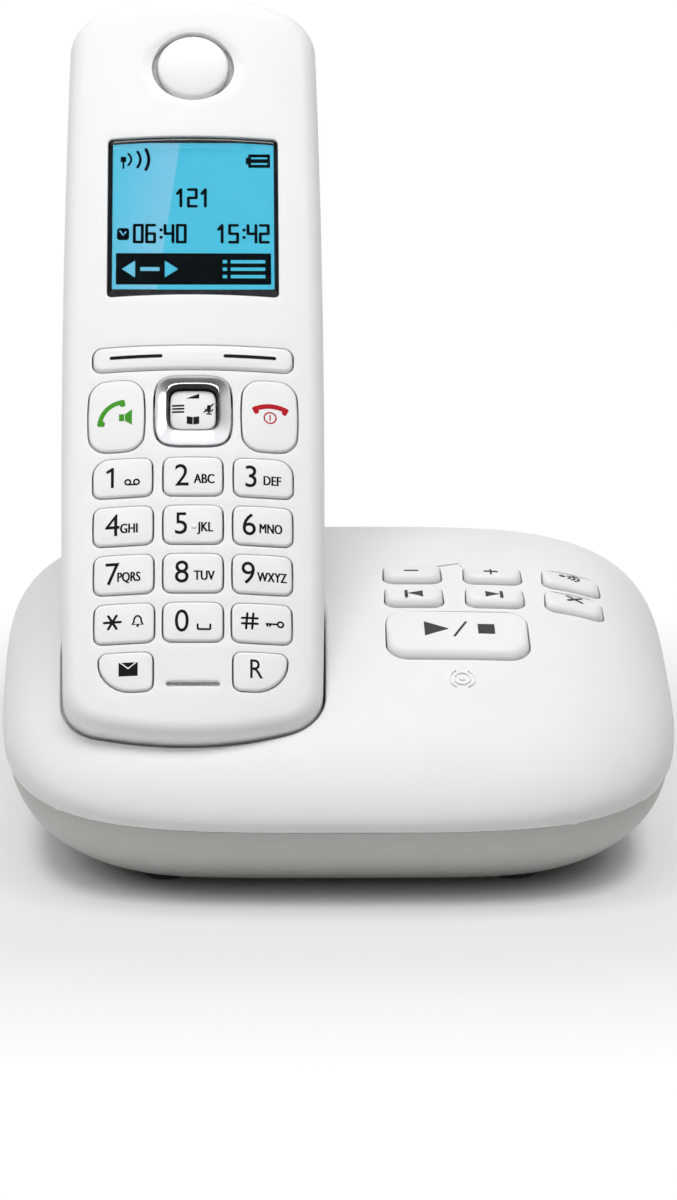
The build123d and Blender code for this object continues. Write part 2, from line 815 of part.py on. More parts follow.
base_keys = {}
base_key_rows = (("volume_down_key", "volume_up_key", "announce_key"), ("previous_key", "next_key", "delete_key"))
for row_names, front in zip(base_key_rows, base_key_front_ys):
    for name, x in zip(row_names, base_key_columns):
        base_keys[name] = (x, front, base_key_width, base_key_depth, base_key_radius)
play_key_x = (base_key_columns[0] + base_key_columns[1]) / 2
base_keys["play_stop_key"] = (play_key_x, play_key_front_y, play_key_width, play_key_depth, play_key_radius)


def upright_prism(outline, x, y, z0, z1):
    """An outline about the origin, moved to x from the middle of the base and y from the front, then extruded."""
    with BuildPart() as solid:
        with BuildSketch(Plane.XY.offset(z0)):
            with Locations((x, front_y + y)):
                add(outline)
        extrude(amount=z1 - z0)
    return solid.part


def surface_point(x, y, above):
    return Vector(x, front_y + y, dome_surface(*on_base(x, y)) + above)


base_mat_top_z = key_board_top_z + base_mat_thickness
for name, (x, front, width, depth, radius) in base_keys.items():
    middle_y = front + depth / 2
    near_left = surface_point(x - width / 2, front, base_key_front_proud)
    near_right = surface_point(x + width / 2, front, base_key_front_proud)
    far = (
        surface_point(x - width / 2, front + depth, base_key_back_proud)
        + surface_point(x + width / 2, front + depth, base_key_back_proud)
    ) / 2
    tilt = (near_right - near_left).cross(far - near_left).normalized()
    reach = flange_reach
    lowest = min(
        dome_surface(*on_base(x + sx * (width / 2 + reach), middle_y + sy * (depth / 2 + reach)), -upper_wall)
        for sx in (-1, 1)
        for sy in (-1, 1)
    )
    flange_z = lowest - base_flange_gap
    with BuildPart() as base_key:
        add(upright_prism(key_outline(width, depth, radius), x, middle_y, flange_z - flange_thickness, above_all))
        split(bisect_by=Plane(origin=near_left, z_dir=tilt), keep=Keep.BOTTOM)
        fillet(base_key.faces().sort_by(Axis.Z)[-1].edges(), key_edge_radius)
        add(upright_prism(key_outline(width, depth, radius, reach), x, middle_y, flange_z - flange_thickness, flange_z))
        add(post(x, middle_y, stem_radius, base_mat_top_z + base_stem_gap, flange_z))
    save(base_key, name)

with BuildPart() as base_key_board:
    with BuildSketch(Plane.XY.offset(key_board_top_z - key_board_thickness)):
        with Locations((sum(key_board_x) / 2, front_y + sum(key_board_y) / 2)):
            RectangleRounded(key_board_x[1] - key_board_x[0], key_board_y[1] - key_board_y[0], 2)
        with Locations(*[(x, front_y + y) for x, y in key_board_bosses]):
            Circle(stake_radius + screw_hole_gap, mode=Mode.SUBTRACT)
    extrude(amount=key_board_thickness)
save(base_key_board, "base_key_board")

with BuildPart() as base_key_mat:
    left, right = base_key_columns[0] - base_key_width / 2, base_key_columns[-1] + base_key_width / 2
    near, back = play_key_front_y, base_key_front_ys[0] + base_key_depth
    with BuildSketch(Plane.XY.offset(key_board_top_z)):
        with Locations(((left + right) / 2, front_y + (near + back) / 2)):
            RectangleRounded(right - left + mat_margin, back - near + mat_margin, 2)
    extrude(amount=base_mat_thickness)
save(base_key_mat, "base_key_mat")


# ---------------------------------------------------------------- base: shells and cradle
with BuildPart() as shell_bosses:
    for x, y in base_screws_at:
        add(post(x, y, base_boss_radius, boss_split_z, above_all))
    for x, y in key_board_bosses:
        add(post(x, y, stake_radius + boss_wall * 0.85, key_board_top_z, above_all))
        add(post(x, y, stake_radius, key_board_top_z - key_board_thickness - stake_head, key_board_top_z + 1))
    add(dome(-upper_wall / 2), mode=Mode.INTERSECT)

with BuildPart() as base_upper_shell:
    add(dome())
    add(dome(-upper_wall), mode=Mode.SUBTRACT)
    add(shell_bosses.part)
    for x, y in base_screws_at:
        add(post(x, y, screw_shank_radius + fit_gap, boss_split_z - 1, base_shank_top_z + 1), mode=Mode.SUBTRACT)
    add(handset_block(cradle_clearance), mode=Mode.SUBTRACT)
    for x, front, width, depth, radius in base_keys.values():
        hole = key_outline(width, depth, radius, base_key_gap)
        add(upright_prism(hole, x, front + depth / 2, key_board_top_z + 3, above_all), mode=Mode.SUBTRACT)
save(base_upper_shell, "base_upper_shell")

with BuildPart() as cradle_pocket:
    add(handset_block(cradle_clearance + cradle_wall))
    add(post(handset_offset_x, cradle_screw_y, base_boss_radius, cradle_boss_z, crown_z / 2))
    add(handset_block(cradle_clearance), mode=Mode.SUBTRACT)
    add(dome(-upper_wall - cradle_shell_gap), mode=Mode.INTERSECT)
    add(
        post(handset_offset_x, cradle_screw_y, screw_shank_radius + fit_gap, 0, cradle_shank_top_z + 0.4),
        mode=Mode.SUBTRACT,
    )
    for sx in (-1, 1):
        slot = contact_width / 2 + 0.4
        middle = sx * contact_x
        add(face_box(middle - slot, middle + slot, -6, 2, contact_w - 2.4, contact_w + 2.4), mode=Mode.SUBTRACT)
save(cradle_pocket, "cradle_pocket")

floor_z = bottom_z + lower_wall
main_board_top_z = main_board_z + main_board_thickness
with BuildPart() as socket_bay:
    with BuildSketch(Plane.XY.offset(bottom_z)):
        with Locations((0, front_y + bay_front_y - lower_wall)):
            Rectangle(2 * (bay_half_width + lower_wall), base_depth, align=(Align.CENTER, Align.MIN))
    extrude(amount=bay_top_z + lower_wall - bottom_z)
    add(bowl(), mode=Mode.INTERSECT)

with BuildPart() as base_lower_shell:
    add(bowl())
    add(bowl(lower_wall), mode=Mode.SUBTRACT)
    add(socket_bay.part)
    for x, y in base_screws_at:
        add(post(x, y, base_post_radius, floor_z - lower_wall / 2, boss_split_z))
    add(post(handset_offset_x, cradle_screw_y, base_post_radius, floor_z - lower_wall / 2, cradle_boss_z - fit_gap))
    for x, y in standoffs:
        add(post(x, y, standoff_radius, floor_z - lower_wall / 2, main_board_z))
        add(post(x, y, stake_radius, main_board_z - 1, main_board_top_z + stake_head))
    with BuildSketch(Plane.XY.offset(floor_z - lower_wall / 2)):
        with Locations((speaker_x, front_y + speaker_y)):
            Circle(speaker_radius)
            Circle(speaker_radius - 2, mode=Mode.SUBTRACT)
    extrude(amount=speaker_rib + lower_wall / 2)
    for x, y in (*base_screws_at, (handset_offset_x, cradle_screw_y)):
        add(post(x, y, screw_shank_radius + screw_hole_gap, 0, boss_split_z + 1), mode=Mode.SUBTRACT)
        add(post(x, y, screw_head_radius + screw_hole_gap, 0, bottom_z + screw_seat), mode=Mode.SUBTRACT)
    for x, y in feet_at:
        add(post(x, y, foot_radius + fit_gap, 0, bottom_z + foot_recess), mode=Mode.SUBTRACT)
    with BuildSketch(Plane.XY):
        with Locations((0, front_y + bay_front_y)):
            Rectangle(2 * bay_half_width, base_depth, align=(Align.CENTER, Align.MIN))
    extrude(amount=bay_top_z, mode=Mode.SUBTRACT)
    with BuildSketch(Plane.XY.offset(socket_floor_z)):
        for sx in (-1, 1):
            with Locations((sx * socket_x, front_y + bay_front_y - lower_wall / 2)):
                Rectangle(socket_width, 2 * lower_wall)
    extrude(amount=socket_height, mode=Mode.SUBTRACT)
    with BuildSketch(Plane.XY):
        for k in range(grille_slots):
            across = (k - (grille_slots - 1) / 2) * grille_pitch
            with Locations((speaker_x + across, front_y + speaker_y)):
                SlotOverall(grille_slot_length, grille_slot_width, rotation=90)
    extrude(amount=floor_z + 0.5, mode=Mode.SUBTRACT)
save(base_lower_shell, "base_lower_shell")

with BuildPart() as base_feet:
    for x, y in feet_at:
        add(post(x, y, foot_radius, 0, bottom_z + foot_recess))
    chamfer(base_feet.edges().filter_by(GeomType.CIRCLE).group_by(Axis.Z)[0], 0.4)
save(base_feet, "base_feet")

with BuildPart() as base_screws:
    for x, y in (*base_screws_at, (handset_offset_x, cradle_screw_y)):
        under_cradle = y == cradle_screw_y
        seat_z = bottom_z + screw_seat
        add(post(x, y, screw_head_radius, seat_z - screw_head_height, seat_z))
        add(post(x, y, screw_shank_radius, seat_z, cradle_shank_top_z if under_cradle else base_shank_top_z))
save(base_screws, "base_screws")


# ---------------------------------------------------------------- base: electronics
with BuildPart() as base_main_board:
    with BuildSketch(Plane.XY.offset(main_board_z)):
        rear_depth = board_rear_y - board_rear_front_y
        with Locations((0, front_y + (board_rear_y + board_rear_front_y) / 2)):
            Rectangle(2 * board_half_width, rear_depth)
        with Locations(((board_left_x + board_left_right_x) / 2, front_y + (board_front_y + board_rear_y) / 2)):
            Rectangle(board_left_right_x - board_left_x, board_rear_y - board_front_y)
        with Locations(*[(x, front_y + y) for x, y in standoffs]):
            Circle(stake_radius + screw_hole_gap, mode=Mode.SUBTRACT)
        with Locations((handset_offset_x, front_y + cradle_screw_y)):
            Circle(base_post_radius + 2 * screw_hole_gap, mode=Mode.SUBTRACT)
    extrude(amount=main_board_thickness)
save(base_main_board, "base_main_board")

pad_u = foot_arc_radius - (foot_arc_radius**2 - contact_x**2) ** 0.5
pad_point = face.origin + face.y_dir * (pad_u - contact_gap) + face.z_dir * contact_w
with BuildPart() as charging_contacts:
    strip_z = main_board_top_z + contact_strip / 2
    bend_y = pad_point.Y - contact_back
    for sx in (-1, 1):
        middle = handset_offset_x + sx * contact_x
        with BuildSketch(Plane.YZ.offset(middle)):
            with BuildLine() as path:
                Polyline(
                    (bend_y + contact_foot, strip_z),
                    (bend_y, strip_z),
                    (bend_y, pad_point.Z - contact_rise),
                    (pad_point.Y - contact_strip / 2, pad_point.Z - contact_strip / 2),
                )
            trace(path.line, line_width=contact_strip)
        extrude(amount=contact_width / 2, both=True)
save(charging_contacts, "charging_contacts")

for name, sx in (("line_jack", -1), ("power_jack", 1)):
    jack_rear_y = front_y + bay_front_y - lower_wall - jack_wall_gap
    with BuildPart() as jack:
        with BuildSketch(Plane.XY.offset(main_board_top_z)):
            with Locations((sx * socket_x, jack_rear_y - jack_depth / 2)):
                Rectangle(jack_width, jack_depth)
        extrude(amount=jack_height)
        with BuildSketch(Plane.XY.offset(socket_floor_z)):
            with Locations((sx * socket_x, jack_rear_y)):
                Rectangle(socket_width, 2 * (jack_depth - jack_back_wall))
        extrude(amount=socket_height, mode=Mode.SUBTRACT)
    save(jack, name)

speaker_z = floor_z + speaker_rib
speaker_axis = Plane(origin=(speaker_x, front_y + speaker_y, speaker_z), x_dir=(1, 0, 0), z_dir=(0, -1, 0))
rim, magnet_radius, basket_z = 2.6, 8.5, 6.0
with BuildPart() as loudspeaker_frame:
    with BuildSketch(speaker_axis):
        with BuildLine():
            Polyline(
                (speaker_radius - rim, 0),
                (speaker_radius, 0),
                (speaker_radius, 1.2),
                (speaker_radius - 2, 1.2),
                (magnet_radius + 1, basket_z),
                (magnet_radius, speaker_depth),
                (0, speaker_depth),
                (0, basket_z),
                (magnet_radius, basket_z - 1),
                (speaker_radius - rim, 1.0),
                close=True,
            )
        make_face()
    revolve(axis=Axis(speaker_axis.origin, (0, 0, 1)))
save(loudspeaker_frame, "loudspeaker_frame")

with BuildPart() as loudspeaker_cone:
    with BuildSketch(speaker_axis):
        with BuildLine():
            Polyline(
                (0, 2.4),
                (4, 2.2),
                (5, 3.6),
                (speaker_radius - rim - 0.2, 0.5),
                (speaker_radius - rim - 0.2, 0.1),
                (5, 3.0),
                (4, 1.7),
                (0, 1.9),
                close=True,
            )
        make_face()
    revolve(axis=Axis(speaker_axis.origin, (0, 0, 1)))
save(loudspeaker_cone, "loudspeaker_cone")

with BuildPart() as base_antennas:
    for sx in (-1, 1):
        with BuildSketch(Plane.XY.offset(main_board_top_z)):
            with Locations((sx * antenna_x, front_y + antenna_y)):
                Rectangle(antenna_strip, antenna_length)
        extrude(amount=antenna_height)
        with BuildSketch(Plane.XY.offset(main_board_top_z + antenna_height)):
            with Locations((sx * (antenna_x + antenna_tab / 2 - antenna_strip / 2), front_y + antenna_y)):
                Rectangle(antenna_tab, antenna_length)
        extrude(amount=antenna_strip)
save(base_antennas, "base_antennas")
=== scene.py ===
from math import atan, cos, pi, radians, sin

import bmesh
import bpy
import numpy as np
from mathutils import Matrix, Vector
from mathutils.geometry import delaunay_2d_cdt


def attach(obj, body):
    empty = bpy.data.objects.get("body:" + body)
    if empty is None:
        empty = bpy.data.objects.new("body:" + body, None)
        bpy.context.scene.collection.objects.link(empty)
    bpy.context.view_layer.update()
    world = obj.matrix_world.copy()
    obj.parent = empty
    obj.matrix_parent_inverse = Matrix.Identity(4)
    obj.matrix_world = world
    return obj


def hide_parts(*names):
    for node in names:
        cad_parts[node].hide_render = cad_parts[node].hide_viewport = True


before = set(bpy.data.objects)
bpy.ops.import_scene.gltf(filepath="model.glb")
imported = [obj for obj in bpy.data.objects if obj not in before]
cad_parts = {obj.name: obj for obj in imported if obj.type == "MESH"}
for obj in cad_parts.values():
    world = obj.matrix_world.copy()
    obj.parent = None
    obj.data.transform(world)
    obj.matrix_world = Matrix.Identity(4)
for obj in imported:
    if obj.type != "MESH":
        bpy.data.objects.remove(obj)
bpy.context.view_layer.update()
scene = bpy.context.scene

# Sizes are in millimetres until a mesh is made. x is to the right, y to the back, z up. On the handset, u runs
# up along the face and w out of it. On the base, plan points are x and y from the middle of its parting line.

# ---------------------------------------------------------------- camera
focal_px, frame_width_px, frame_height_px = 4941, 677, 1200
straight_ahead_px = 193  # where the camera's own heading crosses the frame before it is turned to the right
camera_at = Vector((-0.0271, -0.8945, 0.3288))
camera_down = radians(18)

camera_data = bpy.data.cameras.new("camera")
camera_data.sensor_width = 36
camera_data.lens = focal_px / frame_height_px * camera_data.sensor_width
camera_data.clip_start, camera_data.clip_end = 0.05, 20
camera = bpy.data.objects.new("camera", camera_data)
scene.collection.objects.link(camera)
turn = atan((frame_width_px / 2 - straight_ahead_px) / focal_px)
heading = Vector((0, cos(camera_down), -sin(camera_down)))
upward = Vector((0, sin(camera_down), cos(camera_down)))
sideways = Vector((1, 0, 0))
axes = (sideways * cos(turn) - heading * sin(turn), upward, -heading * cos(turn) - sideways * sin(turn))
camera.matrix_world = Matrix.Translation(camera_at) @ Matrix(axes).transposed().to_4x4()
scene.camera = camera

# ---------------------------------------------------------------- sizes that the frame has too
front_y = -66.0805  # front of the parting line
base_half_width, base_half_depth = 62.1, 53.4
base_y = front_y + base_half_depth
base_outline_power, base_crown_power = 3.75, 4.0
crown_z, crown_slope, crown_sag = 44.15, 0.18, 9.1
shoulder_plan_power, shoulder_rise_power = 6.1, 1.6
shell_wall, cradle_clearance = 2.2, 0.5
lean = radians(43.4)
handset_length, handset_thickness, back_radius = 157.3, 26.0, 8.0
face_radius = 100.0  # of the arch across the handset's face
split_w, wall = -12.0, 2.0
FOOT = np.array((-27.1, front_y + 8.5, 31.2))
ACROSS = np.array((1.0, 0, 0))
UP = np.array((0, sin(lean), cos(lean)))
OUT = np.array((0, -cos(lean), sin(lean)))


def on_face(x, u, w):
    return FOOT + np.outer(x, ACROSS) + np.outer(u, UP) + np.outer(w, OUT)


def spots(points, w):
    """Points of the face plane in space, each at its height w or all at one height."""
    return on_face(points[:, 0], points[:, 1], np.broadcast_to(w, len(points)))


def arch(x, grow=0.0):
    return np.sqrt((face_radius + grow) ** 2 - np.asarray(x) ** 2) - face_radius


def arched(points, w):
    """Points w above the arched face."""
    return spots(points, arch(points[:, 0]) + w)


def over_base(plan, z):
    return np.stack([plan[:, 0], base_y + plan[:, 1], np.broadcast_to(z, len(plan))], 1)


# ---------------------------------------------------------------- mesh code
class Shape:
    """Points and faces of one piece, in millimetres."""

    def __init__(self):
        self.points, self.faces, self.count = [], [], 0

    def ring(self, points):
        points = np.asarray(points, float).reshape(-1, 3)
        self.points.append(points)
        self.count += len(points)
        return np.arange(self.count - len(points), self.count)

    def bridge(self, a, b):
        for i in range(len(a)):
            j = (i + 1) % len(a)
            self.faces.append((a[i], a[j], b[j], b[i]))

    def loft(self, rings, last=None):
        """Joins rings of points one after another, starting from ring indices last if given."""
        made = []
        for points in rings:
            new = self.ring(points)
            if last is not None:
                self.bridge(last, new)
            made.append(new)
            last = new
        return made

    def tube(self, rings):
        """Joins rings of points in a circle, the last to the first."""
        made = self.loft(rings)
        self.bridge(made[-1], made[0])

    def solid(self, rings):
        """Joins rings of points and closes both ends."""
        made = self.loft(rings)
        self.close(made[0])
        self.close(made[-1])

    def close(self, ring, middle=None):
        if middle is None:
            self.faces.append(tuple(ring))
        else:
            hub = self.ring([middle])[0]
            for i in range(len(ring)):
                self.faces.append((ring[i], ring[(i + 1) % len(ring)], hub))

    def triangles(self, indices, triangles):
        self.faces.extend(tuple(indices[list(t)]) for t in triangles)

    def piece(self, name, body, material, replaces=(), sharp=38):
        mesh = bpy.data.meshes.new(name)
        points = np.concatenate(self.points) / 1000
        mesh.from_pydata(points.tolist(), [], [tuple(int(i) for i in f) for f in self.faces])
        work = bmesh.new()
        work.from_mesh(mesh)
        bmesh.ops.recalc_face_normals(work, faces=work.faces)
        work.to_mesh(mesh)
        work.free()
        mesh.shade_smooth()
        mesh.set_sharp_from_angle(angle=radians(sharp))
        mesh.materials.append(material)
        made = bpy.data.objects.new(name, mesh)
        scene.collection.objects.link(made)
        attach(made, body)
        if replaces:
            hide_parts(*replaces)


def directions(angles):
    return np.stack([np.cos(angles), np.sin(angles)], 1)


def unit(vectors):
    return vectors / np.linalg.norm(vectors, axis=1)[:, None]


def distances(points, others):
    return np.hypot(points[:, None, 0] - others[None, :, 0], points[:, None, 1] - others[None, :, 1])


def inside(points, loop):
    """Which 2D points lie in a closed loop."""
    x, y = points[:, :1], points[:, 1:]
    a, b = loop, np.roll(loop, -1, 0)
    spans = (a[:, 1] > y) != (b[:, 1] > y)
    with np.errstate(divide="ignore", invalid="ignore"):
        cross = (b[:, 0] - a[:, 0]) * (y - a[:, 1]) / (b[:, 1] - a[:, 1]) + a[:, 0]
    return (np.sum(spans & (x < cross), axis=1) % 2) == 1


def between(points, edge, holes):
    """Which 2D points lie in the edge loop and in none of the holes."""
    keep = inside(points, edge)
    for hole in holes:
        keep &= ~inside(points, hole)
    return keep


def triangulate(points, loops):
    """Triangles between 2D points that keep the loops' edges. The loops' points come first."""
    edges, start = [], 0
    for loop in loops:
        edges += [(start + i, start + (i + 1) % len(loop)) for i in range(len(loop))]
        start += len(loop)
    return delaunay_2d_cdt([Vector(p) for p in points], edges, [], 0, 1e-7)


def sheet(edge, holes, spacing, extra=()):
    """Triangles that fill a loop around its holes. Returns the 2D points, loops first, and the triangles."""
    low, high = edge.min(0), edge.max(0)
    rows = []
    for k, y in enumerate(np.arange(low[1], high[1], spacing * 0.866)):
        x = np.arange(low[0] + (k % 2) * spacing / 2, high[0], spacing)
        rows.append(np.stack([x, np.full(len(x), y)], 1))
    grid = np.concatenate(rows)
    if len(extra):
        clear = distances(grid, extra).min(1) > spacing * 0.6
        grid = np.concatenate([grid[clear], extra])
    grid = grid[between(grid, edge, holes)]
    loops = [edge, *holes]
    far = np.full(len(grid), True)
    for loop in loops:
        pitch = np.median(np.hypot(*(loop - np.roll(loop, 1, 0)).T))
        far &= distances(grid, loop).min(1) > min(spacing * 0.45, 2.5 * pitch + 0.12)
    points = np.concatenate(loops + [grid[far]])
    faces, origins = triangulate(points, loops)[2:4]
    first = [origin[0] for origin in origins]
    triangles = np.array([[first[i] for i in face] for face in faces])
    return points, triangles[between(points[triangles].mean(1), edge, holes)]


def offset(loop, distance):
    """A counter-clockwise closed loop moved out by distance along its own normals."""
    along = unit(unit(loop - np.roll(loop, 1, 0)) + unit(np.roll(loop, -1, 0) - loop))
    return loop + np.reshape(distance, (-1, 1)) * np.stack([along[:, 1], -along[:, 0]], 1)


def place(loop, x, y):
    return loop + np.array((x, y))


def rounded(width, height, radii, bow=0.0, corner_steps=7, side_steps=6):
    """A rounded rectangle about the origin, counter-clockwise. radii is one number, or four that start at the
    lower left corner. Its sides bow out by bow."""
    if not hasattr(radii, "__len__"):
        radii = (radii,) * 4
    arcs = []
    for (sx, sy, start), radius in zip(((-1, -1, pi), (1, -1, 1.5 * pi), (1, 1, 0), (-1, 1, 0.5 * pi)), radii):
        middle = np.array((sx * (width / 2 - radius), sy * (height / 2 - radius)))
        arcs.append(middle + radius * directions(np.linspace(start, start + pi / 2, corner_steps + 1)))
    points = []
    for k, arc in enumerate(arcs):
        steps = np.linspace(0, 1, side_steps + 1)[1:-1, None]
        points += [arc, arc[-1] * (1 - steps) + arcs[(k + 1) % 4][0] * steps]
    loop = np.concatenate(points)
    if bow:
        x, y = loop[:, 0] / (width / 2), loop[:, 1] / (height / 2)
        loop = loop + bow * np.stack([x * (1 - y**2), y * (1 - x**2)], 1)
    return loop


def squircle(width, height, power, steps=72):
    """A superellipse about the origin, counter-clockwise."""
    rays = directions(np.linspace(0, 2 * pi, steps, endpoint=False))
    return rays * unit_reach(rays, power)[:, None] * (width / 2, height / 2)


def unit_reach(direction, power):
    """How far a superellipse of half sizes 1 reaches in a direction."""
    return (np.abs(direction[:, 0]) ** power + np.abs(direction[:, 1]) ** power) ** (-1 / power)


def circle(x, y, radius, steps=48):
    return np.array((x, y)) + radius * directions(np.linspace(0, 2 * pi, steps, endpoint=False))


def quarter(steps):
    """Shares (across, down) of a quarter round, from its flat end to its upright end."""
    angles = np.linspace(0, pi / 2, steps + 1)
    return list(zip(1 - np.sin(angles), 1 - np.cos(angles)))


# ---------------------------------------------------------------- materials
grain_depth = 0.00005  # metres


def connect(tree, socket, value):
    """Links a socket to another, or sets its value."""
    if isinstance(value, bpy.types.NodeSocket):
        tree.links.new(value, socket)
    else:
        socket.default_value = value


def feed(tree, node, inputs):
    """Connects a node's inputs. Underscores stand for spaces in their names."""
    for name, value in inputs.items():
        connect(tree, node.inputs[name.replace("_", " ")], value)


def add_node(tree, kind, **inputs):
    made = tree.nodes.new("ShaderNode" + kind)
    feed(tree, made, inputs)
    return made


def ramp_between(tree, factor, low, high):
    """A colour ramp from low to high, each a position and a colour."""
    ramp = add_node(tree, "ValToRGB", Fac=factor)
    for element, (position, colour) in zip(ramp.color_ramp.elements, (low, high)):
        element.position, element.color = position, (*colour, 1)
    return ramp


def ranged(tree, value, source=(0.0, 1.0), target=(0.0, 1.0), smooth=False):
    """A value mapped from one range to another."""
    made = add_node(tree, "MapRange", Value=value, From_Min=source[0], From_Max=source[1], To_Min=target[0],
                    To_Max=target[1])
    if smooth:
        made.interpolation_type = "SMOOTHSTEP"
    return made.outputs["Result"]


def new_material(name):
    made = bpy.data.materials.new(name)
    made.use_nodes = True
    return made, made.node_tree, made.node_tree.nodes["Principled BSDF"]


def node_material(name, colour, roughness, vary=0.03, scale=60.0, bump=0.0, bump_scale=900.0, rough_vary=0.06,
                  **sockets):
    """A moulded or metal surface: colour and roughness drift slowly over it and a fine grain bumps it."""
    made, tree, shader = new_material(name)
    coordinates = add_node(tree, "TexCoord").outputs["Object"]

    def noise(at_scale, detail):
        return add_node(tree, "TexNoise", Vector=coordinates, Scale=at_scale, Detail=detail).outputs["Fac"]

    darker = [c * (1 - vary) for c in colour]
    ramp = ramp_between(tree, noise(scale, 3), (0.35, darker), (0.65, colour))
    spread = ranged(tree, noise(scale * 2.3, 4), target=(roughness - rough_vary, roughness + rough_vary))
    feed(tree, shader, {"Base Color": ramp.outputs["Color"], "Roughness": spread, **sockets})
    if bump:
        rise = add_node(tree, "Bump", Strength=bump, Distance=grain_depth, Height=noise(bump_scale, 2))
        feed(tree, shader, {"Normal": rise.outputs["Normal"]})
    return made


def white_material(name, colour, roughness, specular, on_keys):
    vary, bump, bump_scale = (0.012, 0.15, 2200) if on_keys else (0.015, 0.25, 1800)
    return node_material(name, colour, roughness, vary=vary, bump=bump, bump_scale=bump_scale,
                         Specular_IOR_Level=specular)


def metal(name, colour, roughness, **more):
    return node_material(name, colour, roughness, Metallic=1, **more)


def ink_material(name, colour, roughness, vary, specular, scale=400):
    return node_material(name, colour, roughness, vary=vary, scale=scale, Specular_IOR_Level=specular)


white = white_material("white_plastic", (0.88, 0.88, 0.878), 0.42, 0.35, False)
key_white = white_material("key_plastic", (0.88, 0.88, 0.878), 0.4, 0.35, True)
# painted shade: the base's plastic and keys are the handset's white made darker, as the dome faces up into the
# top lamp and would render brighter
shaded_base_white = white_material("base_plastic_shaded", (0.82, 0.82, 0.822), 0.45, 0.3, False)
shaded_base_key_white = white_material("base_key_plastic_shaded", (0.83, 0.83, 0.832), 0.42, 0.3, True)
warm_grey = node_material(
    "lower_shell_plastic", (0.54, 0.53, 0.503), 0.4, vary=0.02, bump=0.35, bump_scale=1500,
)
ink = ink_material("dark_ink", (0.004, 0.004, 0.005), 0.6, 0.15, 0.1)
pale_ink = ink_material("base_ink", (0.03, 0.03, 0.033), 0.6, 0.15, 0.5)
green_ink = ink_material("green_ink", (0.05, 0.32, 0.012), 0.5, 0.08, 0.15)
red_ink = ink_material("red_ink", (0.5, 0.004, 0.014), 0.5, 0.08, 0.1)
black_frame = ink_material("window_print", (0.004, 0.005, 0.008), 0.4, 0.2, 0.1, scale=300)
lcd_ink = ink_material("lcd_segments", (0.003, 0.006, 0.008), 0.5, 0.2, 0.0, scale=300)
rubber = node_material("foot_rubber", (0.02, 0.02, 0.02), 0.75, vary=0.2, bump=0.6)
silicone = node_material("silicone", (0.45, 0.46, 0.47), 0.6, vary=0.06, bump=0.3)
board = node_material("circuit_board", (0.02, 0.17, 0.06), 0.38, vary=0.35, scale=350, bump=0.4, bump_scale=700)
black_plastic = node_material("black_plastic", (0.018, 0.018, 0.02), 0.42, vary=0.25, bump=0.4, bump_scale=1300)
cone_paper = node_material(
    "cone_paper", (0.05, 0.047, 0.043), 0.85, vary=0.3, scale=700, bump=0.8, bump_scale=1600,
)
wrap = node_material("cell_wrap", (0.05, 0.22, 0.16), 0.35, vary=0.1, scale=120)
mesh_grey = node_material(
    "acoustic_mesh", (0.5, 0.5, 0.51), 0.7, vary=0.3, scale=2500, bump=0.9, bump_scale=3500,
)
chrome = metal("chrome", (0.94, 0.945, 0.97), 0.15, vary=0.05, rough_vary=0.03)
gold = metal("plated_contacts", (0.83, 0.6, 0.28), 0.24, vary=0.12, scale=500)
steel = metal("screw_steel", (0.62, 0.62, 0.64), 0.3, vary=0.1, scale=700, bump=0.3)
sheet_metal = metal("antenna_sheet", (0.66, 0.67, 0.68), 0.36, vary=0.1, scale=200)

node_materials = (
    (warm_grey, "base_lower_shell"),
    (steel, "loudspeaker_frame base_screws handset_screws earpiece_receiver microphone ringer_speaker"),
    (cone_paper, "loudspeaker_cone"),
    (rubber, "base_feet"),
    (gold, "charging_contacts handset_charging_pads battery_contacts"),
    (wrap, "battery_cells"),
    (sheet_metal, "base_antennas"),
    (board, "base_main_board base_key_board handset_circuit_board"),
    (silicone, "base_key_mat handset_key_mat"),
    (black_plastic, "line_jack power_jack"),
    (black_frame, "display_module"),
)
by_node = {name: material for material, names in node_materials for name in names.split()}
for node_name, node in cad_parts.items():
    node.data.materials.clear()
    node.data.materials.append(by_node.get(node_name, white))

# ---------------------------------------------------------------- handset outline
half_width, end_half_width = 24.5, 23.35
corner_radius = 9.0
foot_bow, top_bow = 4.8, 5.2


def bow_radius(half_chord, sag):
    return (half_chord**2 + sag**2) / (2 * sag)


foot_radius, top_radius = bow_radius(end_half_width, foot_bow), bow_radius(end_half_width, top_bow)
side_radius = bow_radius(handset_length / 2, half_width - end_half_width)
FOOT_CENTRE, TOP_CENTRE = np.array((0, foot_radius)), np.array((0, handset_length - top_radius))
SIDE_CENTRE = np.array((half_width - side_radius, handset_length / 2))


def meeting(a, ra, b, rb, upper):
    """Where two circles cross, right of the middle line."""
    apart = b - a
    length = np.hypot(*apart)
    along = (ra**2 - rb**2 + length**2) / (2 * length)
    across = (ra**2 - along**2) ** 0.5
    side = np.array((-apart[1], apart[0])) / length
    both = [a + apart / length * along + s * across * side for s in (-1, 1)]
    return max(both, key=lambda p: p[1] if upper else -p[1])


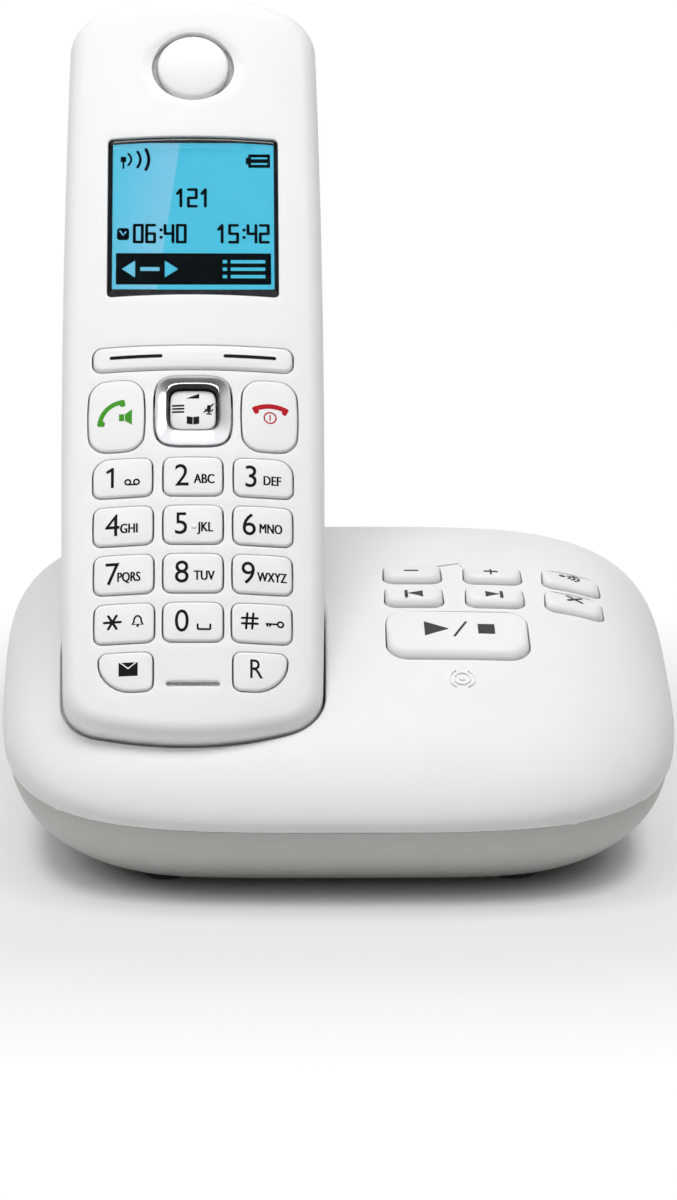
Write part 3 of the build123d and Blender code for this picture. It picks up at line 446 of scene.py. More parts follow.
def handset_loop():
    """Points and outward normals of the handset's outline, counter-clockwise from the middle of the foot."""
    low = meeting(FOOT_CENTRE, foot_radius - corner_radius, SIDE_CENTRE, side_radius - corner_radius, False)
    high = meeting(TOP_CENTRE, top_radius - corner_radius, SIDE_CENTRE, side_radius - corner_radius, True)

    def towards(a, b):
        return np.arctan2(b[1] - a[1], b[0] - a[0])

    spans = [
        (FOOT_CENTRE, foot_radius, -pi / 2, towards(FOOT_CENTRE, low), 12),
        (low, corner_radius, towards(FOOT_CENTRE, low), towards(SIDE_CENTRE, low), 14),
        (SIDE_CENTRE, side_radius, towards(SIDE_CENTRE, low), towards(SIDE_CENTRE, high), 50),
        (high, corner_radius, towards(SIDE_CENTRE, high), towards(TOP_CENTRE, high), 14),
        (TOP_CENTRE, top_radius, towards(TOP_CENTRE, high), pi / 2, 12),
    ]
    points, normals = [], []
    for centre, radius, start, stop, steps in spans:
        normal = directions(np.linspace(start, stop, steps, endpoint=False))
        points.append(centre + radius * normal)
        normals.append(normal)
    points, normals = np.concatenate(points), np.concatenate(normals)
    tip, tip_normal = np.array([[0, handset_length]]), np.array([[0.0, 1.0]])
    mirror = np.array((-1, 1))
    points = np.concatenate([points, tip, (points[1:] * mirror)[::-1]])
    normals = np.concatenate([normals, tip_normal, (normals[1:] * mirror)[::-1]])
    return points, normals


rim, rim_normals = handset_loop()


def rim_at(grow):
    return rim + rim_normals * grow


def past_rim(points):
    """How far points of the face plane lie outside the handset's outline."""
    nearest = np.argmin(distances(points, rim), axis=1)
    return np.sum((points - rim[nearest]) * rim_normals[nearest], axis=1)


# ---------------------------------------------------------------- places of the keys
key_gap, key_lip = 0.3, 0.08
key_width, key_height, key_corner, outer_corner, foot_corner = 10.8, 7.7, 1.3, 2.8, 5.9
column_pitch, column_taper, first_row_u, row_pitch = 12.95, 0.15, 52.2, 9.87
corner_radii = {
    "1": (key_corner, key_corner, key_corner, outer_corner),
    "3": (key_corner, key_corner, outer_corner, key_corner),
}
handset_keys = {}  # name: x, u, width, height, corner radii, bow of the sides
for k, label in enumerate(("1", "2", "3", "4", "5", "6", "7", "8", "9", "star", "0", "hash")):
    row, column = divmod(k, 3)
    x, u = (column - 1) * (column_pitch - column_taper * row), first_row_u - row * row_pitch
    name = f"number_key_{label}" if label.isdigit() else f"{label}_key"
    handset_keys[name] = (x, u, key_width, key_height, corner_radii.get(label, key_corner), 0.1)
handset_keys["talk_key"] = (-14.2, 65.1, 10.3, 14.6, 2.6, 0.45)
handset_keys["end_key"] = (14.2, 65.1, 10.3, 14.6, 2.6, 0.45)
handset_keys["message_key"] = (-12.2, 12.85, 9.75, 7.6, (foot_corner, key_corner, key_corner, key_corner), 0.1)
handset_keys["recall_key"] = (12.2, 12.85, 9.75, 7.6, (key_corner, foot_corner, key_corner, key_corner), 0.1)
bar_u, bar_width, bar_height, bar_corner = 77.1, 37.1, 4.9, 1.7
nav_u, nav_width, nav_height = 65.8, 14.0, 14.3
window_u, window_width, window_height = 107.7, 32.2, 34.2
ear_u = 140.5
dish_width, dish_height, dish_depth, dish_band = 10.2, 8.1, 0.5, 0.28
mic_u, mic_width = 10.4, 9.7


def face_height(x, u):
    """The front of the handset: arched across, with a shallow dish round the earpiece."""
    reach = np.hypot(x / dish_width, (u - ear_u) / dish_height)
    dish = np.clip((1 - reach) / dish_band, 0, 1)
    return arch(x) - dish_depth * dish**2 * (3 - 2 * dish)


def ear_ellipse(a, b):
    return circle(0, 0, 1, 64) * (a, b) + (0, ear_u - 0.05)


# ---------------------------------------------------------------- handset front shell
edge_radius = 3.0
pane_seat = 1.42  # how deep the window's seat lies
front = Shape()
outlines = {}
for name, (x, u, width, height, radii, bow) in handset_keys.items():
    outlines[name] = place(rounded(width - 2 * bow, height - 2 * bow, radii, bow), x, u)
outlines["soft_key_bar"] = place(rounded(bar_width, bar_height, bar_corner, side_steps=14), 0, bar_u)
outlines["nav_ring"] = place(squircle(nav_width, nav_height, 4.4), 0, nav_u)
outlines["window"] = place(rounded(window_width, window_height, 0.9, side_steps=16), 0, window_u)
outlines["earpiece"] = ear_ellipse(7.85, 7.5)
outlines["microphone"] = place(rounded(mic_width, 1.0, 0.45, side_steps=8), 0, mic_u)
# gap round the piece, radius of the lip, depth of the hole's upper part
gaps = {
    "window": (0.07, 0.25, pane_seat), "earpiece": (0.0, 0.15, wall), "nav_ring": (0.42, 0.1, wall),
    "microphone": (0.0, 0.3, wall),
}
holes = [offset(loop, sum(gaps.get(name, (key_gap, key_lip))[:2])) for name, loop in outlines.items()]
dish_points = np.concatenate([circle(0, ear_u, radius) for radius in (8.5, 9.0, 9.6, 10.2, 10.9)])
flat, triangles = sheet(rim_at(-edge_radius), holes, 2.6, dish_points)
height = face_height(flat[:, 0], flat[:, 1])
top = front.ring(spots(flat, height))
front.triangles(top, triangles)
rings = []
for across, down in quarter(9)[1:]:
    rings.append(arched(rim_at(-edge_radius * across), -edge_radius * down))
for inset, lift in ((0, 0.4), (0.06, 0.2), (0.25, 0.1), (0.9, 0.1), (0.95, 0.0), (wall, 0.0)):
    rings.append(spots(rim_at(-inset), split_w + lift))
rings.append(arched(rim_at(-wall), -wall - 1.5))
rings.append(arched(rim_at(-wall - 0.3), -wall - 0.5))
outer_rings = front.loft(rings, top[:len(rim)])
under = front.ring(spots(flat, height - wall))
front.triangles(under, triangles)
front.bridge(outer_rings[-1], under[:len(rim)])
start = len(rim)
for name, loop in outlines.items():
    gap, lip, depth = gaps.get(name, (key_gap, key_lip, wall))
    end = start + len(loop)
    rings = []
    for across, down in quarter(5)[1:]:
        points = offset(loop, gap + lip * across)
        rings.append(spots(points, face_height(points[:, 0], points[:, 1]) - lip * down))
    rings.append(arched(offset(loop, gap), -max(depth, lip + 0.2)))
    if name == "window":
        light = place(rounded(window_width - 0.5, window_height - 0.5, 0.8, side_steps=16), 0, window_u)
        rings += [arched(light, -pane_seat), arched(light, 0.02 - wall)]
    made = front.loft(rings, top[start:end])
    front.bridge(made[-1], under[start:end])
    start = end
front.piece("handset_front", "handset", white, ["handset_front_shell"])

cloth = Shape()
slit = place(rounded(mic_width - 0.1, 0.94, 0.42, side_steps=8), 0, mic_u)
cloth.solid([spots(slit, w) for w in (-1.7, -0.85, -0.75)])
cloth.piece("microphone_fabric", "handset", mesh_grey)


# ---------------------------------------------------------------- keys of the handset
def pillow(x, y, half_width, half_height):
    """1 in the middle of a key's top, falling to 0 along its edges."""
    across = np.clip(np.abs(x / half_width), 0, 1)
    along = np.clip(np.abs(y / half_height), 0, 1)
    return (1 - across**2.5) * (1 - along**2.5)


flange_reach, flange_thickness = 0.6, 0.7  # how far a key's flange reaches past its outline under the shell
tops = {}  # name of a key: function of 2D points and a rise that gives their places on its top


def key_cap(name, outline, lower_rings, radius, turns, shares, hub, at_top, material):
    """A key with a rounded edge and a crowned top, standing on its lower rings."""
    rings = [*lower_rings]
    for across, down in quarter(turns)[::-1]:
        rings.append(at_top(offset(outline, -radius * across), -radius * down))
    key = Shape()
    made = key.loft(rings)
    key.close(made[0])
    inner = offset(outline, -radius)
    shrinking = key.loft([at_top(hub + (inner - hub) * share, 0) for share in shares], made[-1])
    key.close(shrinking[-1], at_top(hub[None, :], 0)[0])
    key.piece(name + "_cap", name, material, [name])
    tops[name] = at_top


def handset_key(name, outline, x, u, width, height, proud=0.45, radius=0.38, flange_w=-4.1):
    def at_top(points, rise):
        bulge = 0.1 * pillow(points[:, 0] - x, points[:, 1] - u, width / 2 - radius, height / 2 - radius)
        return spots(points, arch(points[:, 0], proud) + bulge + rise)

    flange = offset(outline, flange_reach)
    lower = [spots(flange, flange_w - flange_thickness), spots(flange, flange_w), spots(outline, flange_w)]
    shares = (0.93, 0.84, 0.72, 0.58, 0.42, 0.25, 0.1)
    key_cap(name, outline, lower, radius, 7, shares, np.array((x, u)), at_top, key_white)


for name, (x, u, width, height, _, _) in handset_keys.items():
    handset_key(name, outlines[name], x, u, width, height)
bar_outline = outlines["soft_key_bar"]
handset_key("soft_key_bar", bar_outline, 0, bar_u, bar_width, bar_height, radius=0.6, flange_w=-4.7)

# four-way key: a chrome ring round a white pad, with a black lining between them whose black paints the shade
# down in the gap round the pad
pad_width, pad_height = 8.5, 8.3
pad_outline = place(squircle(pad_width, pad_height, 5.2), 0, nav_u)
ring_inner, ring_outer = offset(pad_outline, key_gap), outlines["nav_ring"]
ring_flange = offset(ring_outer, flange_reach)
ring_flange_w = -4.7
ring_foot_w = ring_flange_w - flange_thickness
rings = [spots(ring_inner, ring_foot_w), spots(ring_flange, ring_foot_w), spots(ring_flange, ring_flange_w),
         spots(ring_outer, ring_flange_w)]
ring_profile = (  # share of the way in, rise above the face
    (0, -0.35), (0, 0.3), (0.015, 0.42), (0.05, 0.56), (0.12, 0.7), (0.22, 0.87), (0.35, 1.08), (0.5, 1.29),
    (0.65, 1.49), (0.8, 1.68), (0.82, 1.69), (0.835, 1.6),
)
for share, rise in ring_profile:
    loop = ring_outer * (1 - share) + ring_inner * share
    rings.append(arched(loop, rise))
rings.append(spots(loop, ring_foot_w))
chrome_ring = Shape()
chrome_ring.tube(rings)
shade_lining_outer = ring_outer * 0.15 + ring_inner * 0.85
shade_lining_profile = ((shade_lining_outer, -3.0), (shade_lining_outer, 1.45), (ring_inner, 0.8), (ring_inner, -3.0))
shade_lining = Shape()
shade_lining.tube([arched(loop, w) for loop, w in shade_lining_profile])
shade_lining.piece("nav_ring_shade_lining", "nav_ring", black_plastic)
chrome_ring.piece("nav_ring_trim", "nav_ring", chrome, ["nav_ring"])
handset_key("nav_pad", pad_outline, 0, nav_u, pad_width, pad_height, proud=0.35, radius=0.4, flange_w=-5.7)

# ---------------------------------------------------------------- earpiece
cap_radius, cap_flange_radius, cap_sink = 6.78, 9.2, 0.35
cap_profile = (  # radius, height before the cap is sunk
    (cap_flange_radius, -3.4), (cap_flange_radius, -2.7), (6.9, -2.6), (cap_radius, -2.3), (cap_radius, -0.35),
    (6.72, -0.1), (6.56, 0.1), (6.25, 0.22), (5.6, 0.35), (4.4, 0.5), (3.2, 0.6), (1.8, 0.66), (0.8, 0.68),
)
cap = Shape()
made = cap.loft([spots(circle(0, ear_u, radius, 64), w - cap_sink) for radius, w in cap_profile])
cap.close(made[0])
cap.close(made[-1], on_face([0], [ear_u], [0.335])[0])
cap.piece("earpiece_dome", "handset", key_white, ["earpiece_cap"])
fabric_profile = ((7.78, 7.43, -2.2), (6.85, 6.85, -2.2), (6.85, 6.85, -1.9), (7.78, 7.43, -1.9))
fabric = Shape()
fabric.tube([spots(ear_ellipse(a, b), w) for a, b, w in fabric_profile])
fabric.piece("earpiece_fabric", "handset", mesh_grey)

# ---------------------------------------------------------------- handset back shell
screw_places = [(side * 18.9, u) for u in (84.0, 131.0) for side in (-1, 1)]
screw_head_bore, screw_bore, post_bore = 2.25, 1.25, 2.8
cover_opening = place(rounded(30.3, 64.3, 3.15), 0, 92.0)
bay = place(rounded(22.1, 46.5, 0.4), 0, 90.25)
bay_wall = place(rounded(24.5, 48.9, 1.2), 0, 90.25)
cover_seat_w, bay_floor_w, bay_wall_w = -24.75, -13.5, -12.3
sound_slots = [place(rounded(1.2, 11 - abs(x), 0.55), x, 139.0) for x in (-5.6, -2.8, 0.0, 2.8, 5.6)]


def back_height(depth, inset=0.0):
    """The back's height at a depth inside the outline, on its skin or an inset inside it."""
    radius = back_radius - inset
    rise = radius - np.sqrt(radius**2 - np.clip(radius - depth + inset, 0, radius) ** 2)
    return inset - handset_thickness + rise


back = Shape()
edge = rim_at(-wall)
near_edge = np.concatenate([rim_at(-depth) for depth in (3.1, 4.2, 5.4, 6.7, 8.0)])
skins = []
for bore, opening, inset in ((screw_head_bore, cover_opening, 0.0), (post_bore, bay_wall, wall)):
    hole_loops = [opening, *sound_slots, *[circle(x, u, bore, 40) for x, u in screw_places]]
    flat, triangles = sheet(edge, hole_loops, 2.2, near_edge)
    skin = back.ring(spots(flat, back_height(-past_rim(flat), inset)))
    back.triangles(skin, triangles)
    starts = np.cumsum([0, len(edge)] + [len(loop) for loop in hole_loops])
    skins.append([skin[a:b] for a, b in zip(starts, starts[1:])])
(outer_edge, outer_opening, *outer_holes), (inner_edge, inner_opening, *inner_holes) = skins
rings = [spots(rim_at(-depth), back_height(depth)) for depth in (1.5, 1.0, 0.6, 0.3, 0.1, 0.0)]
for inset, w in ((0.0, -15.0), (0.0, split_w - 0.1), (0.1, split_w), (wall, split_w), (wall, -15.0)):
    rings.append(spots(rim_at(-inset), w))
made = back.loft(rings, outer_edge)
back.bridge(made[-1], inner_edge)
for outer_hole, inner_hole in zip(outer_holes[:len(sound_slots)], inner_holes):
    back.bridge(outer_hole, inner_hole)
bore_profile = ((screw_head_bore, -15.5), (screw_bore, -15.5), (screw_bore, split_w), (post_bore, split_w))
for k, (x, u) in enumerate(screw_places, len(sound_slots)):
    made = back.loft([spots(circle(x, u, radius, 40), w) for radius, w in bore_profile], outer_holes[k])
    back.bridge(made[-1], inner_holes[k])
rings = [spots(cover_opening, cover_seat_w), spots(bay, cover_seat_w), spots(bay, bay_floor_w)]
made = back.loft(rings, outer_opening)
back.close(made[-1])
back.close(back.loft([spots(bay_wall, bay_wall_w)], inner_opening)[-1])
back.piece("handset_back", "handset", white, ["handset_back_shell"])
for side, side_name in ((-1, "left"), (1, "right")):
    x = side * np.linspace(6.15, 9.85, 9)
    foot_line = foot_radius - np.sqrt(foot_radius**2 - x**2)
    outline = np.concatenate([np.stack([x, foot_line - 0.03], 1), np.stack([x, foot_line + 0.9], 1)[::-1]])
    pad = Shape()
    pad.solid([spots(outline, w) for w in (-15.95, -12.25)])
    replaced = ["handset_charging_pads"] if side < 0 else ()
    pad.piece("charging_pad_" + side_name, "handset", gold, replaced)

# ---------------------------------------------------------------- base: shape of the dome
chart_power = 4.0
profile_width, profile_height = 57, 28  # about how far the dome's shoulder runs in and up


def parting_z(y):
    return 15.4 + 0.135 * (y + base_half_depth)


def reach_at(share):
    """How wide the dome still is at a share of its height."""
    shoulder = np.clip(1 - share**shoulder_rise_power, 0, 1) ** (1 / shoulder_plan_power)
    return shoulder * (1 + 0.12 * share * (1 - share))


def power_at(share):
    return base_outline_power + (base_crown_power - base_outline_power) * share


profile_share = np.sin(np.linspace(0, pi / 2, 400)) ** 1.1
profile_share = np.unique(np.clip(np.concatenate([profile_share, 1 - np.linspace(0, 0.05, 60) ** 2]), 0, 1))
profile_steps = np.hypot(
    np.diff(reach_at(profile_share)) * profile_width, np.diff(profile_share) * profile_height,
)
profile_length = np.concatenate([[0], np.cumsum(profile_steps)])
profile_total = profile_length[-1]
chart_size = np.array((base_half_width, base_half_depth)) * (profile_total / profile_width)


def polar(points, size):
    """Distance and direction of points, in shares of size."""
    scaled = points / size
    radius = np.hypot(*scaled.T)
    return radius, scaled / np.maximum(radius, 1e-9)[:, None]


def furthest(holds, low, high, turns):
    """The furthest values between low and high for which holds is true, found by halving."""
    for _ in range(turns):
        middle = (low + high) / 2
        held = holds(middle)
        low, high = np.where(held, middle, low), np.where(held, high, middle)
    return low


def dome_point(chart, grow=0.0):
    """From the dome's chart, where lengths are near true, to space. The chart's edge is the parting line."""
    radius, direction = polar(chart, chart_size)
    from_middle = radius / unit_reach(direction, chart_power) * profile_total
    length = profile_total - np.clip(from_middle, 0, profile_total)
    share = np.interp(length, profile_length, profile_share)
    reach = (unit_reach(direction, power_at(share)) * reach_at(share))[:, None]
    plan = direction * reach * (base_half_width + grow, base_half_depth + grow)
    y = plan[:, 1]
    low = parting_z(y)
    high = crown_z + grow + crown_slope * y - crown_sag * (y / base_half_depth) ** 2
    return over_base(plan, low + (high - low) * share)


def dome_chart(plan):
    """The chart points above plan points."""
    radius, direction = polar(plan, (base_half_width, base_half_depth))
    share = furthest(
        lambda middle: unit_reach(direction, power_at(middle)) * reach_at(middle) > radius,
        np.full(len(plan), 0.3), np.full(len(plan), 1.0), 40,
    )
    travel = 1 - np.interp(share, profile_share, profile_length) / profile_total
    return direction * (travel * unit_reach(direction, chart_power))[:, None] * chart_size


def dome_height(plan):
    return dome_point(dome_chart(plan))[:, 2]


# ---------------------------------------------------------------- base: cradle
def block_distance(points):
    """How far points lie outside the handset's body, near its sides, foot and back."""
    local = points - FOOT
    side = past_rim(np.stack([local @ ACROSS, local @ UP], 1)) + back_radius
    behind = -handset_thickness - local @ OUT + back_radius
    within = np.minimum(np.maximum(side, behind), 0)
    return within + np.hypot(np.maximum(side, 0), np.maximum(behind, 0)) - back_radius


def away(points):
    """The direction straight out from the handset at each of the points."""
    steps = np.eye(3) * 0.05
    return unit(np.stack([block_distance(points + step) - block_distance(points - step) for step in steps], 1))


def down_along(normals):
    """The part of straight down that lies along surfaces with these normals."""
    down = np.array((0, 0, -1.0))
    return down - (normals @ down)[:, None] * normals


cradle_steps = 180
cradle_start = dome_chart(np.array([[FOOT[0], -22.0]]))[0]
cradle_rays = directions(np.linspace(0, 2 * pi, cradle_steps, endpoint=False))


def cradle_loop(gap, grow=0.0):
    """The line on the dome, in its chart, that is gap away from the handset. A negative grow lies below it."""
    reach = furthest(
        lambda middle: block_distance(dome_point(cradle_start + cradle_rays * middle[:, None], grow)) <= gap,
        np.zeros(cradle_steps), np.full(cradle_steps, 70.0), 36,
    )
    return cradle_start + cradle_rays * reach[:, None]


# ---------------------------------------------------------------- base: upper shell
base_keys = {}  # name: x, front edge from the base's front, width, depth, corner radius
key_rows = ((56.4, "volume_down_key volume_up_key announce_key"), (47.4, "previous_key next_key delete_key"))
for front_edge, row_names in key_rows:
    for name, x in zip(row_names.split(), (14.25, 29.4, 44.3)):
        base_keys[name] = (x, front_edge, 10.7, 7.6, 2.0)
base_keys["play_stop_key"] = (21.825, 30.9, 26.2, 14.8, 4.0)


def nearness(loop):
    """0 at the back of a key's outline to 1 at its front."""
    return np.clip((loop[:, 1].max() - loop[:, 1]) / np.ptp(loop[:, 1]), 0, 1)


def base_gap(loop):
    return 0.08 + 0.3 * nearness(loop)


def base_lip(loop):
    return 0.04 + 0.2 * nearness(loop)


chart_edge = squircle(*(2 * chart_size), chart_power, 240)
lip_radius = 0.9
cradle_edge = cradle_loop(cradle_clearance + lip_radius)
base_outlines = {
    name: place(rounded(width, depth, radius), x, front_edge + depth / 2 - base_half_depth)
    for name, (x, front_edge, width, depth, radius) in base_keys.items()
}
key_holes = [dome_chart(offset(loop, base_gap(loop) + base_lip(loop))) for loop in base_outlines.values()]
chart, triangles = sheet(chart_edge, [cradle_edge, *key_holes], 2.6)

# a dark groove shows between the raised rim and the lower shell
groove = 0.28
edge_points = dome_point(chart_edge)
outside_points = dome_point(chart)
outside_points[:len(chart_edge), 2] += groove + 0.5
upper = Shape()
outer = upper.ring(outside_points)
upper.triangles(outer, triangles)
inner = upper.ring(dome_point(chart, -shell_wall))
upper.triangles(inner, triangles)
outward = edge_points - (0, base_y, 0)
outward[:, 2] = 0
outward = unit(outward)
rim_profile = (  # inset, lift above the parting line
    (0.02, groove + 0.25), (0.1, groove + 0.1), (0.28, groove), (1.0, groove), (1.05, 0.02),
    (shell_wall - 0.1, 0.02),
)
rings = [edge_points - outward * inset + (0, 0, lift) for inset, lift in rim_profile]
made = upper.loft(rings, outer[:len(chart_edge)])
upper.bridge(made[-1], inner[:len(chart_edge)])

# rounded lip of the cradle
start = len(chart_edge)
end = start + cradle_steps
inner_line = dome_point(cradle_loop(cradle_clearance))
outer_line = dome_point(cradle_edge)
lower_line = inner_line + unit(down_along(away(inner_line))) * lip_radius
rings = []
for t in np.linspace(0, 1, 8)[1:]:
    rings.append(outer_line * (1 - t) ** 2 + 2 * t * (1 - t) * inner_line + t**2 * lower_line)
rings += [dome_point(cradle_loop(cradle_clearance, -below), -below) for below in (1.3, 1.7, 2.1, 2.5)]
made = upper.loft(rings, outer[start:end])
upper.bridge(made[-1], inner[start:end])

# openings of the keys
for loop in base_outlines.values():
    start, end = end, end + len(loop)
    rings = []
    for across, down in quarter(5)[1:]:
        plan = offset(loop, base_gap(loop) + base_lip(loop) * across)
        rings.append(over_base(plan, dome_height(plan) - base_lip(loop) * down))
    plan = offset(loop, base_gap(loop))
    rings.append(over_base(plan, dome_height(plan) - shell_wall + 0.1))
    made = upper.loft(rings, outer[start:end])
    upper.bridge(made[-1], inner[start:end])
upper.piece("base_dome", "base", shaded_base_white, ["base_upper_shell"], sharp=50)

# ---------------------------------------------------------------- base: lining of the cradle
# It starts under the lip and follows the handset's shape down to the lowest line under the handset.
skirt_gap, skirt_wall, skirt_step, first_step = 0.58, 0.7, 0.5, 2.5
flattest = 0.12  # the slope at which a path ends
paths = [inner_line]
moving = np.full(len(inner_line), True)
for _ in range(100):
    points = paths[-1]
    along = down_along(away(points))
    steep = np.linalg.norm(along, axis=1)
    moving &= steep > flattest
    moved = points + along / np.maximum(steep, 0.01)[:, None] * skirt_step
    moved = moved + (skirt_gap - block_distance(moved))[:, None] * away(moved)
    paths.append(np.where(moving[:, None], moved, points))
paths = np.stack(paths)
step_count = (np.linalg.norm(np.diff(paths, axis=0), axis=2) > 0.01).sum(0)
column = np.arange(len(inner_line))
rings = []
for share in np.linspace(0, 1, 28):
    at = first_step + share * (step_count - first_step)
    low = np.clip(at.astype(int), 0, len(paths) - 2)
    part = (at - low)[:, None]
    rings.append(paths[low, column] * (1 - part) + paths[low + 1, column] * part)
bottom = rings[-1].copy()
bottom[:, 1:] = np.median(bottom[:, 1]), bottom[:, 2].min()
outside = [ring + away(ring) * skirt_wall for ring in rings[::-1]]
skirt = Shape()
skirt.tube(rings + [bottom, bottom - (0, 0, skirt_wall)] + outside)
skirt.piece("cradle_skirt", "base", shaded_base_white)

# ---------------------------------------------------------------- base keys
front_proud, back_proud, base_crown, crown_inset = 1.7, 0.1, 0.12, 0.7


def base_key(name, outline):
    x, front_edge, width, depth, _ = base_keys[name]
    near = front_edge - base_half_depth
    corners = np.array([(x + side * width / 2, y) for y in (near, near + depth) for side in (-1, 1)])
    front_left, front_right, back_left, back_right = dome_height(corners)
    front_z = (front_left + front_right) / 2 + front_proud
    back_z = (back_left + back_right) / 2 + back_proud
    slope_x, slope_y = (front_right - front_left) / width, (back_z - front_z) / depth

    def at_top(plan, rise):
        dx, dy = plan[:, 0] - x, plan[:, 1] - near
        bulge = base_crown * pillow(dx, dy - depth / 2, width / 2 - crown_inset, depth / 2 - crown_inset)
        return over_base(plan, front_z + slope_x * dx + slope_y * dy + bulge + rise)

    flange = offset(outline, flange_reach)
    flange_z = dome_height(flange).min() - shell_wall - 0.35
    levels = ((flange, flange_z - flange_thickness), (flange, flange_z), (outline, flange_z))
    lower = [over_base(loop, z) for loop, z in levels]
    radius = 0.1 + 1.75 * nearness(outline)
    shares = (0.93, 0.84, 0.7, 0.5, 0.3, 0.1)
    key_cap(name, outline, lower, radius, 6, shares, outline.mean(0), at_top, shaded_base_key_white)


for name, outline in base_outlines.items():
    base_key(name, outline)


# ---------------------------------------------------------------- printed marks
def fill(outer, cuts=()):
    """A filled flat shape with cut-outs, as 2D points and faces."""
    loops = [np.asarray(loop, float) for loop in (outer, *cuts)]
    points, _, faces = triangulate(np.concatenate(loops), loops)[:3]
    points = np.array([tuple(point) for point in points])
    faces = np.array([list(face) for face in faces])
    return points, faces[between(points[faces].mean(1), loops[0], loops[1:])]


def slab(left, low, right, high):
    return fill([(left, low), (right, low), (right, high), (left, high)])


def stroke(points, width, closed=False):
    """A pen line of even width, round a closed loop or with round ends."""
    points = np.asarray(points, float)
    if closed:
        after = np.roll(points, -1, 0)
        turned = points if np.sum(points[:, 0] * after[:, 1] - after[:, 0] * points[:, 1]) > 0 else points[::-1]
        return fill(offset(turned, width / 2), [offset(turned, -width / 2)])
    parts = [points[:1]]
    for a, b in zip(points, points[1:]):
        steps = max(int(np.hypot(*(b - a)) / 0.8), 1)
        parts.append(a + (b - a) * np.linspace(0, 1, steps + 1)[1:, None])
    line = np.concatenate(parts)
    along = unit(np.gradient(line, axis=0))
    side = np.stack([-along[:, 1], along[:, 0]], 1) * width / 2
    caps = []
    for tip, course in ((line[-1], along[-1]), (line[0], -along[0])):
        angle = np.arctan2(course[1], course[0])
        caps.append(tip + width / 2 * directions(np.linspace(angle - pi / 2, angle + pi / 2, 6)[1:-1]))
    return fill(np.concatenate([line - side, caps[0], (line + side)[::-1], caps[1]]))


def arc(x, y, radius, start, stop, width, steps=14):
    """A pen line along an arc, its angles in degrees."""
    return stroke(np.array((x, y)) + radius * directions(np.radians(np.linspace(start, stop, steps))), width)


def disc(x, y, radius):
    return fill(circle(x, y, radius, 28))


def loop_line(x, y, radius, width):
    return fill(circle(x, y, radius + width / 2, 36), [circle(x, y, radius - width / 2, 36)])


letters = bpy.data.curves.new("letters", "FONT")
letters_object = bpy.data.objects.new("letters", letters)
scene.collection.objects.link(letters_object)
letters.resolution_u = 4


def text_mesh(body):
    letters.body = body
    bpy.context.view_layer.update()
    mesh = bpy.data.meshes.new_from_object(letters_object.evaluated_get(bpy.context.evaluated_depsgraph_get()))
    points = np.array([v.co[:2] for v in mesh.vertices])
    faces = [tuple(p.vertices) for p in mesh.polygons]
    bpy.data.meshes.remove(mesh)
    return points, faces


capital_height = np.ptp(text_mesh("H")[0][:, 1])


def text(body, x, y, height, squeeze=1.0):
    """Letters with their lower left corner at x, y."""
    points, faces = text_mesh(body)
    points = points * (height / capital_height * squeeze, height / capital_height)
    return points - (points[:, 0].min(), 0) + (x, y), faces


def lay(name, marks, surface, body, material, over=0.04, under=0.03):
    """Thin printed marks on a surface. surface(points, height) gives their places in space."""
    shape = Shape()
    for points, faces in marks:
        upper_side = shape.ring(surface(points, over))
        lower_side = shape.ring(surface(points, -under))
        sides = set()
        for face in faces:
            face = [int(i) for i in face]
            shape.faces.append(tuple(upper_side[i] for i in face))
            shape.faces.append(tuple(lower_side[i] for i in reversed(face)))
            sides.update(zip(face, face[1:] + face[:1]))
        for i, j in sides:
            if (j, i) not in sides:
                shape.faces.append((upper_side[j], upper_side[i], lower_side[i], lower_side[j]))
    shape.piece(name, body, material, sharp=30)


key_middles = {name: key[:2] for name, key in handset_keys.items()}
key_middles["nav_pad"] = (0, nav_u)
key_middles["soft_key_bar"] = (0, bar_u)


def print_on(name, marks, material=ink):
    """Lays marks, drawn about a handset key's middle, on that key."""
    moved = [(points + key_middles[name], faces) for points, faces in marks]
    lay(name + "_print", moved, tops[name], name, material)


def receiver(x, y, size, angle, bow, thick, bulb):
    """A telephone receiver drawn along an angle."""
    steps = np.linspace(-1, 1, 41)
    middle = np.stack([steps * size, bow * (1 - steps**2)], 1)
    along = unit(np.gradient(middle, axis=0))
    side = np.stack([-along[:, 1], along[:, 0]], 1)
    from_middle = np.abs(steps)
    end_round = np.sqrt(np.clip(1 - ((from_middle - 0.86) / 0.2) ** 2, 0.3, 1))
    swell = np.clip((from_middle - 0.7) / 0.06, 0, 1) * end_round
    rounding = np.sqrt(np.clip(1 - (np.clip(from_middle - 0.9, 0, 1) / 0.115) ** 2, 0, 1))
    low = middle - side * (thick + bulb * swell)[:, None]
    line = np.concatenate([low, (middle + side * (thick * rounding)[:, None])[::-1]])
    c, s = cos(radians(angle)), sin(radians(angle))
    return fill(line @ np.array([(c, s), (-s, c)]) + (x, y))


digit_height, digit_foot, digit_left, letter_height = 4.35, -2.1, -3.3, 1.85
digits_left = {"6": -3.7, "9": -3.8}
key_letters = {  # the letters and where they start
    "2": ("ABC", 0.2), "3": ("DEF", 0.1), "4": ("GHI", -0.5), "5": ("JKL", 0.8), "6": ("MNO", -0.55),
    "7": ("PQRS", -1.1), "8": ("TUV", 0.2), "9": ("WXYZ", -0.9),
}
one_and_tape = [
    fill([(-2.15, -2.1), (-1.62, -2.1), (-1.62, 2.0), (-2.0, 2.0), (-3.1, 1.3), (-2.85, 0.85), (-2.15, 1.25)]),
    loop_line(0.95, -1.1, 0.5, 0.3), loop_line(2.55, -1.1, 0.5, 0.3),
    stroke([(0.95, -1.62), (2.55, -1.62)], 0.3),
]
space_bar = stroke([(0.85, -0.7), (0.87, -1.6), (0.95, -1.65), (3.05, -1.65), (3.13, -1.6), (3.15, -0.7)], 0.36)
